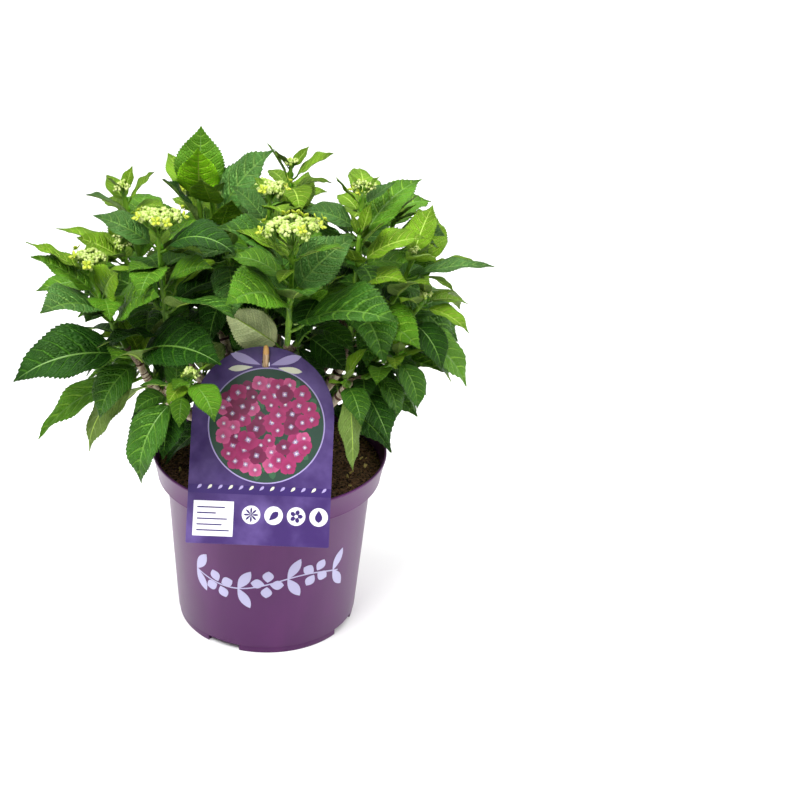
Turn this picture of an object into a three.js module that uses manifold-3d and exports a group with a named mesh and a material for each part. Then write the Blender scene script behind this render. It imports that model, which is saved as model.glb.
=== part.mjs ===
// A young hydrangea in its nursery pot: a stepped plastic pot filled with soil, a short crown at soil level,
// woody boughs, and one leafy shoot on each bough's tip, many of them ending in a flat head of green buds.
// A care label leans on the pot's rim, pegged by a round wooden stick.
// Sizes are in millimetres. Z is up, the underside of the pot is at zero, and the label faces -Y.
// Bearings are in degrees, from the front towards +X. Heights are measured from the underside.

import * as THREE from "three";
import { mergeVertices } from "three/addons/utils/BufferGeometryUtils.js";
import Module from "manifold-3d";

const wasm = await Module();
wasm.setup();
const { Manifold, Mesh: SolidMesh } = wasm;

// Pot
const RIM_RADIUS = 100;
const RIM_HEIGHT = 2;
const RIM_BEVEL = 0.5;
const POT_HEIGHT = 160;
const BAND_HEIGHT = 22.5;
const BAND_LOWER_RADIUS = 95.6;
const BODY_TOP_RADIUS = 88;
const BODY_BASE_RADIUS = 78.7;
const FOOT_RADIUS = 77.5;
const FOOT_HEIGHT = 7;
const FOOT_BEVEL = 1;
const WALL = 1.6;
const FLOOR = 2;
const CHANNEL_INNER_RADIUS = 59;
const CHANNEL_OUTER_RADIUS = 72;
const CHANNEL_DEPTH = 5;
const CHANNEL_SLOPE = 2;
const NOTCH_COUNT = 4;
const NOTCH_WIDTH = 30;
const NOTCH_HEIGHT = 5.5;
const NOTCH_INNER_RADIUS = 69.7;
const NOTCH_BEARING = -28.5;
const DRAIN_COUNT = 8;
const DRAIN_RADIUS = 4;
const DRAIN_SIDES = 10;
const POT_SEGMENTS = 64;

// Soil, and the short woody trunk that stands on it: its rows are [share of its length, radius]
const GAP = 0.3;
const ROOM = 1.3;
const SOIL_EDGE_HEIGHT = 145.5;
const SOIL_CROWN_HEIGHT = 148.5;
const SOIL_CROWN_RADIUS = 25.5;
const SOIL_SEGMENTS = 32;
const TRUNK_ROWS = [[0, 17], [0.22, 12], [0.7, 9.5], [1, 7.6]];
const TRUNK_TOP_HEIGHT = 180;
const TRUNK_LEAN = 5;
const TRUNK_SIDES = 12;
const FORK_SHARE = 0.75;
const FORK_RADIUS = 5.2;

// Limbs
const BOUGH_SIDES = 7;
const BOUGH_STEPS = 4;
const BOUGH_TAPER = 1.25;
const STEM_SIDES = 5;
const STEM_STEPS = 4;
const STEM_BASE_RADIUS = 2.8;
const STEM_TIP_RADIUS = 1.7;
const OUTWARD_FIRST = 0.68;
const UPWARD_LATE = 0.4;

// Leaves: each pair stands across the pair above it
const LEAF_LENGTH = 80;
const LEAF_WIDTH_SHARE = 0.72;
const LEAF_THICKNESS_SHARE = 0.014;
const LEAF_STATIONS = [0.16, 0.44, 0.76];
const LEAF_FOLD = 14;
const BLADE_PEAK = 0.82;
const BLADE_FULLNESS = 0.8;
const BLADE_TAPER = 0.3;
const STALK_SHARE = 0.2;
const STALK_RADIUS = 1.15;
const STALK_FLATNESS = 0.8;
const STALK_START = 0.9;
const PAIR_TURN = 90;
const PAIRS = [
  { at: 0.93, size: 0.6, spread: 38, droop: 25 },
  { at: 0.7, size: 0.88, spread: 52, droop: 45 },
  { at: 0.44, size: 1, spread: 62, droop: 60 },
  { at: 0.16, size: 0.92, spread: 68, droop: 62 },
];

// The scatter of the leaves is drawn again for each leaf from a seed of its own.
const SEED = 4211;
const SEED_STEPS = { shoot: 977, pair: 131, side: 37 };
const DRAW_MODULUS = 2147483647;
const DRAW_FACTOR = 16807;
const SCATTER = { bearing: 14, rise: 9, droop: 14, size: 0.09, twist: 16 };
const TRY_TURNS = [[0, 0], [12, 0], [-12, 0], [0, 16], [0, -16], [24, 10], [-22, -12], [10, 32], [-8, -32]];
const TRY_SIZES = [1, 0.8, 0.62];
const LEAF_CLEARANCE = 0.35;
const MERGE_LENGTH = 0.12;

// Flower heads: a flat dome of buds with a lobed edge, narrowing to the stem below
const HEAD_RISE = 0.34;
const HEAD_FOOT_SHARE = 0.98;
const HEAD_FOOT_RADIUS = 1.4;
const HEAD_ROWS = [[0.49, -0.03], [0.42, 0.09]];
const HEAD_TOP = 0.15;
const HEAD_LOBE = 0.2;
const HEAD_LOBES = 6;
const SMALL_HEAD = 25;
const SMALL_HEAD_LOBES = 4;

// Label and stick: the stick's rows are [share of its length, share of its radius]
const LABEL_WIDTH = 114;
const LABEL_LENGTH = 160;
const LABEL_THICKNESS = 0.9;
const LABEL_LEAN = 33;
const LABEL_BEARING = -2.6;
const LABEL_BELOW_RIM = 31;
const LABEL_SIDE = -3.4;
const LABEL_ARC_STEPS = 12;
const LABEL_OPEN_SHARE = 0.78;
const LABEL_ROOM_DEPTH = 70;
const HOLE_RADIUS = 3.1;
const HOLE_SLOT = 2.8;
const HOLE_BELOW_TOP = 12;
const STICK_RADIUS = 2.5;
const STICK_ROWS = [[0, 1], [0.94, 1], [0.975, 0.8], [1, 0.35]];
const STICK_LEAN = -4;
const STICK_BEYOND_LABEL = 15;
const STICK_SIDES = 12;

// Tips are [bearing, reach, height]. A limb starts at the tip of the one that it stands on.
const BOUGHS = [
  { name: "front", on: "trunk", tip: [54, 14, 250], radius: 3.6 },
  { name: "front_left", on: "trunk", tip: [-56, 102, 234], radius: 3.4 },
  { name: "left_outer", on: "front_left", tip: [-61, 119, 264], radius: 2.9 },
  { name: "left_inner", on: "front_left", tip: [-53, 98, 266], radius: 2.9 },
  { name: "left", on: "trunk", tip: [-96, 76, 244], radius: 3.5 },
  { name: "back_left", on: "trunk", tip: [-142, 70, 240], radius: 3.5 },
  { name: "back", on: "trunk", tip: [176, 62, 246], radius: 3.5 },
  { name: "back_right", on: "trunk", tip: [130, 72, 240], radius: 3.5 },
  { name: "right", on: "trunk", tip: [84, 62, 250], radius: 3.6 },
  { name: "centre", on: "trunk", tip: [-150, 16, 246], radius: 3.2 },
  { name: "right_low", on: "trunk", tip: [52, 80, 248], radius: 2.9 },
];

// A shoot with a head ends in one of that width. Pairs are the ruled pairs of leaves it has, where not all.
const SHOOTS = [
  { name: "front", on: "front", tip: [8, 96, 398], turn: 80, head: 55, size: 1 },
  { name: "centre", on: "centre", tip: [-15, 16, 400], turn: 30, head: 33, size: 0.95 },
  { name: "top", on: "back", tip: [169, 62, 396], turn: 75, head: 17, size: 0.95 },
  { name: "upper_right", on: "right", tip: [98, 70, 396], turn: 20, head: 24, size: 0.95 },
  { name: "upper_left", on: "left", tip: [-99, 123, 386], turn: 85, head: 20, size: 0.9 },
  { name: "left_inner", on: "left_inner", tip: [-63, 100, 384], turn: 60, head: 46, size: 1 },
  { name: "left_outer", on: "left_outer", tip: [-70, 150, 352], turn: -60, head: 32, size: 1 },
  { name: "left", on: "left", tip: [-92, 122, 342], turn: 10, head: 20, size: 0.95 },
  { name: "top_left", on: "back_left", tip: [-128, 66, 375], turn: 5, head: 16, size: 0.95 },
  { name: "front_low", on: "front_left", tip: [-29, 126, 284], turn: 70, head: 19, size: 0.9, pairs: 1 },
  { name: "right", on: "right", tip: [72, 127, 325], turn: 60, head: 16, size: 0.95, pairs: 2 },
  { name: "far_right", on: "right", tip: [75, 114, 357], turn: 0, head: 14, size: 0.9 },
  { name: "right_back", on: "back_right", tip: [107, 104, 372], turn: 40, head: 15, size: 0.95 },
  { name: "high_left", on: "back_left", tip: [-131, 84, 362], turn: 30, size: 0.9 },
  { name: "inner_right", on: "right", tip: [63, 74, 368], turn: 20, size: 0.8 },
  { name: "back_right", on: "back_right", tip: [140, 124, 362], turn: 15, head: 34, size: 1 },
  { name: "back", on: "back", tip: [-176, 124, 350], turn: 70, head: 44, size: 1 },
  { name: "back_left", on: "back_left", tip: [-146, 126, 356], turn: 30, head: 30, size: 1 },
  { name: "far_left", on: "back_left", tip: [-116, 150, 322], turn: 65, head: 22, size: 1 },
  { name: "far_back", on: "back_right", tip: [118, 148, 310], turn: 25, head: 20, size: 1 },
  { name: "low_left", on: "front_left", tip: [-68, 112, 262], turn: 30, size: 0.95, pairs: 1 },
  { name: "low_right", on: "right_low", tip: [59, 116, 277], turn: 50, size: 0.9, pairs: 1 },
  { name: "low_front", on: "right_low", tip: [36, 97, 262], turn: 85, size: 0.85, pairs: 0 },
  { name: "heart_left", on: "centre", tip: [-62, 43, 347], turn: 15, size: 1 },
  { name: "heart_right", on: "front", tip: [62, 44, 318], turn: 40, size: 1 },
  { name: "side_left", on: "left", tip: [-82, 98, 258], turn: 20, size: 0.9, pairs: 2 },
  { name: "heart_back", on: "back", tip: [165, 60, 345], turn: 0, size: 1 },
  { name: "low_back", on: "trunk", tip: [160, 118, 258], turn: 20, size: 1 },
  { name: "low_back_left", on: "trunk", tip: [-118, 122, 250], turn: 50, size: 1 },
  { name: "low_back_right", on: "trunk", tip: [112, 116, 246], turn: 70, size: 1, pairs: 2 },
];

// Leaves whose tips stand at measured places; all the others follow the rule of their pair.
const MARKED_LEAVES = {
  front: [
    { pair: 0, side: 0, tip: [23, 131, 392], droop: 20, wide: 0.8 },
    { pair: 1, side: 0, at: 0.66, tip: [45, 86, 378], droop: 25, wide: 1.15, twist: 35 },
    { pair: 1, side: 1, at: 0.82, tip: [-20, 122, 402], droop: 45, twist: -25 },
    { pair: 2, side: 0, at: 0.62, tip: [10, 147, 363], droop: 30, wide: 0.8 },
    { pair: 2, side: 1, at: 0.6, tip: [-13, 133, 368], droop: 45, twist: -30 },
    { pair: 3, side: 0, at: 0.36, tip: [36, 155, 336], droop: 40, twist: 15 },
    { pair: 3, side: 1, at: 0.1, tip: [-48, 52, 295], droop: 5, wide: 1.1, twist: 118 },
  ],
  centre: [
    { pair: 0, side: 0, at: 0.93, tip: [7.4, 45.4, 388.2], droop: 60, wide: 1.2 },
    { pair: 0, side: 1, at: 0.85, tip: [-81.9, 35.5, 395.2], droop: 30, twist: -25 },
  ],
  top: [
    { pair: 0, side: 0, tip: [-179, 60, 414], droop: 5, wide: 0.7 },
    { pair: 0, side: 1, tip: [131, 61, 410], droop: 10, twist: 20 },
    { pair: 1, side: 0, at: 0.88, tip: [127, 25, 367], droop: 70, wide: 1.1 },
  ],
  upper_right: [
    { pair: 0, side: 1, tip: [90, 52, 410], droop: 5, wide: 0.6 },
    { pair: 0, side: 0, tip: [102, 98, 394], droop: 10 },
    { pair: 1, side: 1, at: 0.8, tip: [90, 22, 374], droop: 40, twist: -25 },
    { pair: 2, side: 1, at: 0.6, tip: [60, 50, 390], droop: 15, wide: 0.9 },
  ],
  upper_left: [
    { pair: 0, side: 0, tip: [-96, 96, 400], droop: 10, twist: 20 },
    { pair: 0, side: 1, tip: [-106, 142, 386], droop: 15, wide: 1.2 },
    { pair: 1, side: 1, at: 0.85, tip: [-90, 143, 391], droop: 35 },
  ],
  left_inner: [
    { pair: 0, side: 1, at: 0.9, tip: [-69, 140, 394], droop: 25, twist: -25 },
    { pair: 0, side: 0, at: 0.88, tip: [-21, 80, 365], droop: 80, twist: 15 },
    { pair: 1, side: 0, at: 0.62, tip: [-32, 88, 354], droop: 50, twist: 25 },
  ],
  left_outer: [
    { pair: 0, side: 0, tip: [-71, 184, 379], droop: 10, wide: 0.65 },
    { pair: 1, side: 1, at: 0.72, tip: [-72, 194, 353], droop: 30, twist: -15 },
    { pair: 1, side: 0, at: 0.7, tip: [-49, 152, 358], droop: 30, wide: 0.9 },
    { pair: 2, side: 1, at: 0.5, tip: [-56, 199, 348], droop: 50, twist: -15 },
    { pair: 2, side: 0, at: 0.46, tip: [-39, 134, 342], droop: 45, wide: 0.9 },
    { pair: 3, side: 0, at: 0.12, tip: [-23, 109, 304], droop: 50, wide: 1.1, twist: 30 },
    { pair: 3, side: 1, at: 0.1, tip: [-69, 214, 255], droop: 50, wide: 1.05, twist: -25 },
  ],
  high_left: [
    { pair: 0, side: 1, at: 0.97, tip: [-140, 97, 418], droop: 12, wide: 1.3 },
    { pair: 0, side: 0, at: 0.97, tip: [-119, 72, 412], droop: 12, wide: 1.2 },
    { pair: 1, side: 1, at: 0.8, tip: [-108, 96, 387], droop: 20, twist: -20 },
  ],
  left: [
    { pair: 0, side: 1, at: 0.9, tip: [-90, 152, 354], droop: 25, wide: 1.2, twist: -30 },
  ],
  top_left: [
    { pair: 1, side: 0, at: 0.8, tip: [-178, 45, 410], droop: 30, twist: 25 },
    { pair: 2, side: 0, at: 0.6, tip: [-98, 35, 380], droop: 30 },
  ],
  front_low: [
    { pair: 0, side: 0, tip: [-17, 144, 256], droop: 70, wide: 1.15 },
    { pair: 0, side: 1, tip: [-30, 147, 276], droop: 60, wide: 1.2 },
    { pair: 2, side: 1, at: 0.55, tip: [-40, 154, 190], droop: 75, wide: 0.8, twist: -10 },
    { pair: 3, side: 1, at: 0.12, tip: [-56, 125, 192], droop: 60 },
  ],
  right: [
    { pair: 0, side: 0, tip: [83, 159, 306], droop: 40 },
    { pair: 0, side: 1, at: 0.88, tip: [71, 165, 295], droop: 50 },
    { pair: 1, side: 0, at: 0.72, tip: [66, 148, 266], droop: 60, twist: 20 },
  ],
  far_right: [
    { pair: 1, side: 0, at: 0.8, tip: [80, 178, 344], droop: 30, wide: 0.7 },
    { pair: 2, side: 0, at: 0.6, tip: [67, 143, 341], droop: 50 },
  ],
  right_back: [
    { pair: 0, side: 0, tip: [103, 111, 384], droop: 5 },
    { pair: 0, side: 1, tip: [95, 118, 382], droop: 5 },
    { pair: 1, side: 0, at: 0.8, tip: [90, 137, 357], droop: 40, wide: 1.15, twist: 25 },
  ],
  inner_right: [
    { pair: 0, side: 0, tip: [65, 94, 383], droop: 5 },
    { pair: 0, side: 1, tip: [67, 75, 395], droop: 5, wide: 0.8 },
    { pair: 1, side: 0, at: 0.8, tip: [69, 125, 372], droop: 40, twist: 20 },
    { pair: 1, side: 1, at: 0.8, tip: [49, 76, 371], droop: 30, wide: 1.2 },
    { pair: 2, side: 0, at: 0.6, tip: [60, 119, 340], droop: 60, twist: 15 },
    { pair: 3, side: 0, at: 0.35, tip: [55, 140, 293], droop: 55, twist: 15 },
  ],
  low_left: [
    { pair: 0, side: 0, tip: [-61, 154, 223], droop: 70, wide: 1.2 },
    { pair: 1, side: 0, at: 0.65, tip: [-68, 157, 184], droop: 60, wide: 0.6, twist: 150 },
    { pair: 1, side: 1, at: 0.6, tip: [-75, 194, 190], droop: 45, wide: 0.45, twist: -35 },
  ],
  low_right: [
    { pair: 0, side: 0, tip: [55, 141, 241], droop: 70, wide: 0.9, twist: 15 },
    { pair: 1, side: 0, at: 0.45, tip: [55, 122, 226], droop: 70, wide: 0.9, twist: 15 },
  ],
  heart_right: [
    { pair: 0, side: 0, tip: [27, 51, 276], droop: 40 },
    { pair: 3, side: 0, at: 0.4, tip: [68, 66, 245], droop: 20, wide: 1.15, twist: 50 },
    { pair: 3, side: 1, at: 0.2, tip: [62, 46, 224], droop: 30, twist: 30 },
  ],
  heart_left: [
    { pair: 2, side: 0, at: 0.5, tip: [-42, 30, 252], droop: 60, wide: 1.2 },
    { pair: 0, side: 0, tip: [-27, 68, 308], droop: 50, wide: 1.2 },
    { pair: 0, side: 1, tip: [-76, 84, 304], droop: 50 },
    { pair: 1, side: 0, at: 0.75, tip: [-57, 60, 270], droop: 50, wide: 1.1 },
    { pair: 3, side: 0, at: 0.1, tip: [-60, 30, 260], droop: 20, wide: 1.2, twist: -40 },
  ],
  low_front: [
    { pair: 1, side: 0, at: 0.65, tip: [33, 129, 239], droop: 60 },
    { pair: 2, side: 0, at: 0.35, tip: [32, 123, 197], droop: 50, wide: 0.6, twist: 150 },
  ],
};

const COLOURS = {
  pot: 0x5d3a5e,
  soil: 0x3a2a20,
  wood: 0x8f7a5c,
  foliage: 0x4f8a35,
  label: 0x57458c,
  stick: 0xb98d55,
};

const ROUGHNESS = { pot: 0.4, soil: 1, wood: 0.9, foliage: 0.6, label: 0.35, stick: 0.6 };

// Vectors and curves

const radians = (angle) => (angle * Math.PI) / 180;

const degrees = (angle) => (angle * 180) / Math.PI;

const vector = (x, y, z) => new THREE.Vector3(x, y, z);

function polar(bearing, reach, height) {
  return vector(reach * Math.sin(radians(bearing)), -reach * Math.cos(radians(bearing)), height);
}

function bezier(start, middle, end, share) {
  const rest = 1 - share;
  return start.clone().multiplyScalar(rest * rest)
    .addScaledVector(middle, 2 * share * rest)
    .addScaledVector(end, share * share);
}

function slope(start, middle, end, share) {
  return middle.clone().sub(start).multiplyScalar(1 - share)
    .addScaledVector(end.clone().sub(middle), share)
    .normalize();
}

// A limb leaves the one below it sideways and turns upwards later.
function limbCurve(start, end) {
  const middle = vector(
    start.x + (end.x - start.x) * OUTWARD_FIRST,
    start.y + (end.y - start.y) * OUTWARD_FIRST,
    start.z + (end.z - start.z) * UPWARD_LATE,
  );
  return {
    end,
    point: (share) => bezier(start, middle, end, share),
    slope: (share) => slope(start, middle, end, share),
  };
}

function seeded(seed) {
  let state = seed % DRAW_MODULUS;
  return () => {
    state = (state * DRAW_FACTOR) % DRAW_MODULUS;
    return state / DRAW_MODULUS;
  };
}

// Solids

function solidFrom(points, faces) {
  const vertProperties = new Float32Array(points.length * 3);
  points.forEach((point, index) => point.toArray(vertProperties, index * 3));
  const mesh = new SolidMesh({ numProp: 3, vertProperties, triVerts: new Uint32Array(faces.flat()) });
  return new Manifold(mesh);
}

// Rings of corners joined into a skin, each end closed by a point or by a flat fan
function skin(rings, firstPoint, lastPoint) {
  const sides = rings[0].length;
  const points = rings.flat();
  const faces = [];
  for (let ring = 0; ring + 1 < rings.length; ring += 1) {
    for (let side = 0; side < sides; side += 1) {
      const here = ring * sides + side;
      const next = ring * sides + ((side + 1) % sides);
      faces.push([here, next, next + sides], [here, next + sides, here + sides]);
    }
  }
  const close = (first, point, outward) => {
    const fan = Array.from({ length: sides }, (_, side) => [first + side, first + ((side + 1) % sides)]);
    const kept = point ? fan : fan.slice(1, -1);
    const middle = point ? points.push(point) - 1 : first;
    faces.push(...kept.map(([here, next]) => (outward ? [here, next, middle] : [next, here, middle])));
  };
  close(0, firstPoint, false);
  close((rings.length - 1) * sides, lastPoint, true);
  return solidFrom(points, faces);
}

function tube(centres, radii, sides) {
  let across = vector(1, 0, 0);
  const rings = centres.map((centre, index) => {
    const before = centres[Math.max(index - 1, 0)];
    const after = centres[Math.min(index + 1, centres.length - 1)];
    const along = after.clone().sub(before).normalize();
    across = across.clone().addScaledVector(along, -across.dot(along)).normalize();
    const up = along.clone().cross(across);
    return Array.from({ length: sides }, (_, side) => {
      const angle = (2 * Math.PI * side) / sides;
      return centre.clone()
        .addScaledVector(across, radii[index] * Math.cos(angle))
        .addScaledVector(up, radii[index] * Math.sin(angle));
    });
  });
  return skin(rings);
}

// The space that other limbs and leaves keep clear of: a tube a little thicker and longer at its end
function roomAround(centres, radii, sides) {
  const [before, last] = centres.slice(-2);
  const beyond = last.clone().addScaledVector(last.clone().sub(before).normalize(), GAP);
  const wider = [...radii, radii.at(-1)].map((radius) => radius + ROOM * GAP);
  return tube([...centres, beyond], wider, sides);
}

function largestPiece(solid) {
  const pieces = solid.decompose();
  return pieces.reduce((best, piece) => (piece.volume() > best.volume() ? piece : best), pieces[0]);
}

function toManifold(geometry) {
  geometry.deleteAttribute("normal");
  geometry.deleteAttribute("uv");
  const merged = mergeVertices(geometry, 1e-4);
  return new Manifold(new SolidMesh({
    numProp: 3,
    vertProperties: new Float32Array(merged.attributes.position.array),
    triVerts: new Uint32Array(merged.index.array),
  }));
}

function lathe(profile, segments) {
  const corners = profile.map(([radius, height]) => new THREE.Vector2(radius, height));
  const geometry = new THREE.LatheGeometry(corners, segments);
  geometry.rotateX(Math.PI / 2);
  return toManifold(geometry);
}

const group = new THREE.Group();

function addPart(name, solid, kind) {
  const { vertProperties, triVerts } = solid.getMesh();
  const geometry = new THREE.BufferGeometry();
  geometry.setAttribute("position", new THREE.BufferAttribute(new Float32Array(vertProperties), 3));
  geometry.setIndex(new THREE.BufferAttribute(new Uint32Array(triVerts), 1));
  geometry.computeVertexNormals();
  const look = { color: COLOURS[kind], roughness: ROUGHNESS[kind], metalness: 0 };
  const mesh = new THREE.Mesh(geometry, new THREE.MeshStandardMaterial(look));
  mesh.name = name;
  group.add(mesh);
}

// Pot: a turned shell with a stepped band, a drain channel underneath and notches in its foot

const stepHeight = POT_HEIGHT - BAND_HEIGHT;
const potProfile = [
  [0, 0],
  [CHANNEL_INNER_RADIUS, 0],
  [CHANNEL_INNER_RADIUS + CHANNEL_SLOPE, CHANNEL_DEPTH],
  [CHANNEL_OUTER_RADIUS - CHANNEL_SLOPE, CHANNEL_DEPTH],
  [CHANNEL_OUTER_RADIUS, 0],
  [FOOT_RADIUS, 0],
  [FOOT_RADIUS, FOOT_HEIGHT - FOOT_BEVEL],
  [BODY_BASE_RADIUS, FOOT_HEIGHT],
  [BODY_TOP_RADIUS, stepHeight],
  [BAND_LOWER_RADIUS, stepHeight],
  [RIM_RADIUS, POT_HEIGHT - RIM_HEIGHT],
  [RIM_RADIUS - RIM_BEVEL, POT_HEIGHT],
  [RIM_RADIUS - WALL - RIM_BEVEL, POT_HEIGHT],
  [BAND_LOWER_RADIUS - WALL, stepHeight + WALL],
  [BODY_TOP_RADIUS - WALL, stepHeight + WALL],
  [BODY_BASE_RADIUS - WALL, CHANNEL_DEPTH + FLOOR],
  [CHANNEL_INNER_RADIUS + CHANNEL_SLOPE - FLOOR, CHANNEL_DEPTH + FLOOR],
  [CHANNEL_INNER_RADIUS - FLOOR, FLOOR],
  [0, FLOOR],
];

function notch(bearing) {
  const box = new THREE.BoxGeometry(NOTCH_WIDTH, FOOT_RADIUS, 2 * NOTCH_HEIGHT);
  box.translate(0, -NOTCH_INNER_RADIUS - FOOT_RADIUS / 2, 0);
  box.rotateZ(radians(bearing));
  return toManifold(box);
}

function drain(bearing) {
  const radius = (CHANNEL_INNER_RADIUS + CHANNEL_OUTER_RADIUS) / 2;
  const foot = polar(bearing, radius, -FLOOR);
  const top = polar(bearing, radius, CHANNEL_DEPTH + 2 * FLOOR);
  return tube([foot, top], [DRAIN_RADIUS, DRAIN_RADIUS], DRAIN_SIDES);
}

let pot = lathe(potProfile, POT_SEGMENTS);
for (let index = 0; index < NOTCH_COUNT; index += 1) {
  pot = pot.subtract(notch(NOTCH_BEARING + (360 / NOTCH_COUNT) * index));
}
for (let index = 0; index < DRAIN_COUNT; index += 1) {
  pot = pot.subtract(drain((360 / DRAIN_COUNT) * (index + 0.5)));
}
addPart("pot", pot, "pot");

// Soil: fills the pot to a little below the rim, a small gap clear of its wall

const wallSlope = (RIM_RADIUS - RIM_BEVEL - BAND_LOWER_RADIUS) / (BAND_HEIGHT - WALL);
const soilAboveStep = SOIL_EDGE_HEIGHT - stepHeight - WALL;
const soilEdgeRadius = BAND_LOWER_RADIUS - WALL + wallSlope * soilAboveStep - GAP;
const soilFloor = CHANNEL_DEPTH + FLOOR + GAP;
const soilProfile = [
  [0, FLOOR + GAP],
  [CHANNEL_INNER_RADIUS - FLOOR - GAP, FLOOR + GAP],
  [CHANNEL_INNER_RADIUS + CHANNEL_SLOPE - FLOOR - GAP, soilFloor],
  [BODY_BASE_RADIUS - WALL - GAP, soilFloor],
  [BODY_TOP_RADIUS - WALL - GAP, stepHeight + WALL + GAP],
  [BAND_LOWER_RADIUS - WALL - GAP, stepHeight + WALL + GAP],
  [soilEdgeRadius, SOIL_EDGE_HEIGHT],
  [SOIL_CROWN_RADIUS, SOIL_CROWN_HEIGHT],
  [0, SOIL_CROWN_HEIGHT],
];
const soil = lathe(soilProfile, SOIL_SEGMENTS);
addPart("soil", soil, "soil");

// Label: a flat card with an arched top and a slot, leaning on the front of the rim

const labelUp = polar(LABEL_BEARING, -Math.sin(radians(LABEL_LEAN)), Math.cos(radians(LABEL_LEAN)));
const labelFace = polar(LABEL_BEARING, Math.cos(radians(LABEL_LEAN)), Math.sin(radians(LABEL_LEAN)));
const labelAcross = labelUp.clone().cross(labelFace);
const labelContact = polar(LABEL_BEARING, RIM_RADIUS, POT_HEIGHT)
  .addScaledVector(labelFace, GAP)
  .addScaledVector(labelAcross, LABEL_SIDE);

function labelPoint(side, above) {
  return labelContact.clone().addScaledVector(labelAcross, side).addScaledVector(labelUp, above);
}

function placeOnLabel(geometry) {
  const place = new THREE.Matrix4().makeBasis(labelAcross, labelUp, labelFace);
  place.setPosition(labelPoint(0, -LABEL_BELOW_RIM));
  return toManifold(geometry.applyMatrix4(place));
}

function makeLabel() {
  const half = LABEL_WIDTH / 2;
  const spring = LABEL_LENGTH - half;
  const shape = new THREE.Shape();
  shape.moveTo(-half, 0);
  shape.lineTo(half, 0);
  shape.lineTo(half, spring);
  shape.absarc(0, spring, half, 0, Math.PI, false);
  shape.lineTo(-half, 0);
  const hole = new THREE.Path();
  hole.absarc(0, LABEL_LENGTH - HOLE_BELOW_TOP + HOLE_SLOT, HOLE_RADIUS, Math.PI, 0, true);
  hole.absarc(0, LABEL_LENGTH - HOLE_BELOW_TOP - HOLE_SLOT, HOLE_RADIUS, 0, -Math.PI, true);
  shape.holes.push(hole);
  const options = { depth: LABEL_THICKNESS, bevelEnabled: false, curveSegments: LABEL_ARC_STEPS };
  return placeOnLabel(new THREE.ExtrudeGeometry(shape, options));
}

const label = makeLabel();
addPart("label", label, "label");

// Leaves are kept off the label's face, but for a strip along its left side.
function makeLabelRoom() {
  const box = new THREE.BoxGeometry(LABEL_WIDTH * LABEL_OPEN_SHARE, LABEL_LENGTH, LABEL_ROOM_DEPTH);
  box.translate((LABEL_WIDTH * (1 - LABEL_OPEN_SHARE)) / 2, LABEL_LENGTH / 2, LABEL_ROOM_DEPTH / 2);
  return placeOnLabel(box);
}

// Stick: stands on the soil behind the label and passes out through its slot

const groundHeight = SOIL_CROWN_HEIGHT + GAP;
const aboveGround = (solid) => solid.trimByPlane([0, 0, 1], groundHeight);

const stickAlong = vector(0, Math.sin(radians(STICK_LEAN)), Math.cos(radians(STICK_LEAN)));
const holeCentre = labelPoint(0, LABEL_LENGTH - LABEL_BELOW_RIM - HOLE_BELOW_TOP);
const stickTop = holeCentre.clone().addScaledVector(stickAlong, STICK_BEYOND_LABEL);
const stickLength = (stickTop.z - SOIL_CROWN_HEIGHT + STICK_RADIUS) / stickAlong.z;
const stickFoot = stickTop.clone().addScaledVector(stickAlong, -stickLength);
const stickCentres = STICK_ROWS.map(([share]) => stickFoot.clone().lerp(stickTop, share));
const stickRadii = STICK_ROWS.map(([, share]) => STICK_RADIUS * share);
const stick = aboveGround(tube(stickCentres, stickRadii, STICK_SIDES));
addPart("label_stick", stick, "stick");

// Trunk: the short woody crown at soil level, cut flat below

const trunkFoot = vector(0, TRUNK_LEAN, groundHeight - TRUNK_LEAN);
const trunkTop = vector(0, 0, TRUNK_TOP_HEIGHT);
const trunkCentres = TRUNK_ROWS.map(([share]) => trunkFoot.clone().lerp(trunkTop, share));
const trunkRadii = TRUNK_ROWS.map(([, radius]) => radius);
addPart("trunk", aboveGround(tube(trunkCentres, trunkRadii, TRUNK_SIDES)), "wood");

// Limbs: each starts inside the one that bears it and is cut back to a small gap from all limbs before it

const fork = { end: trunkFoot.clone().lerp(trunkTop, FORK_SHARE), radius: FORK_RADIUS };
const limbRooms = [roomAround(trunkCentres, trunkRadii, TRUNK_SIDES)];

function growLimb(row, below, shape) {
  const end = polar(...row.tip).add(vector(0, 0, -(row.head ?? 0) * HEAD_RISE));
  const curve = limbCurve(below.end, end);
  const shares = Array.from({ length: shape.steps + 1 }, (_, index) => index / shape.steps);
  const centres = shares.map((share) => curve.point(share));
  const radii = shares.map((share) => shape.baseRadius + (shape.tipRadius - shape.baseRadius) * share);
  const whole = tube(centres, radii, shape.sides);
  const cut = limbRooms.reduce((left, room) => left.subtract(room), whole);
  const solid = largestPiece(cut).simplify(MERGE_LENGTH);
  limbRooms.push(roomAround(centres, radii, shape.sides));
  return { ...curve, radius: shape.tipRadius, solid, room: limbRooms.at(-1) };
}

const boughs = { trunk: fork };
for (const row of BOUGHS) {
  const baseRadius = Math.max(boughs[row.on].radius, row.radius * BOUGH_TAPER);
  const shape = { sides: BOUGH_SIDES, steps: BOUGH_STEPS, baseRadius, tipRadius: row.radius };
  boughs[row.name] = growLimb(row, boughs[row.on], shape);
  addPart(`bough_${row.name}`, boughs[row.name].solid, "wood");
}

const stemShape = {
  sides: STEM_SIDES, steps: STEM_STEPS, baseRadius: STEM_BASE_RADIUS, tipRadius: STEM_TIP_RADIUS,
};
const stems = SHOOTS.map((row) => growLimb(row, boughs[row.on], stemShape));

// A head: rings from the stem's tip out to a lobed edge and in again over the top

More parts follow.
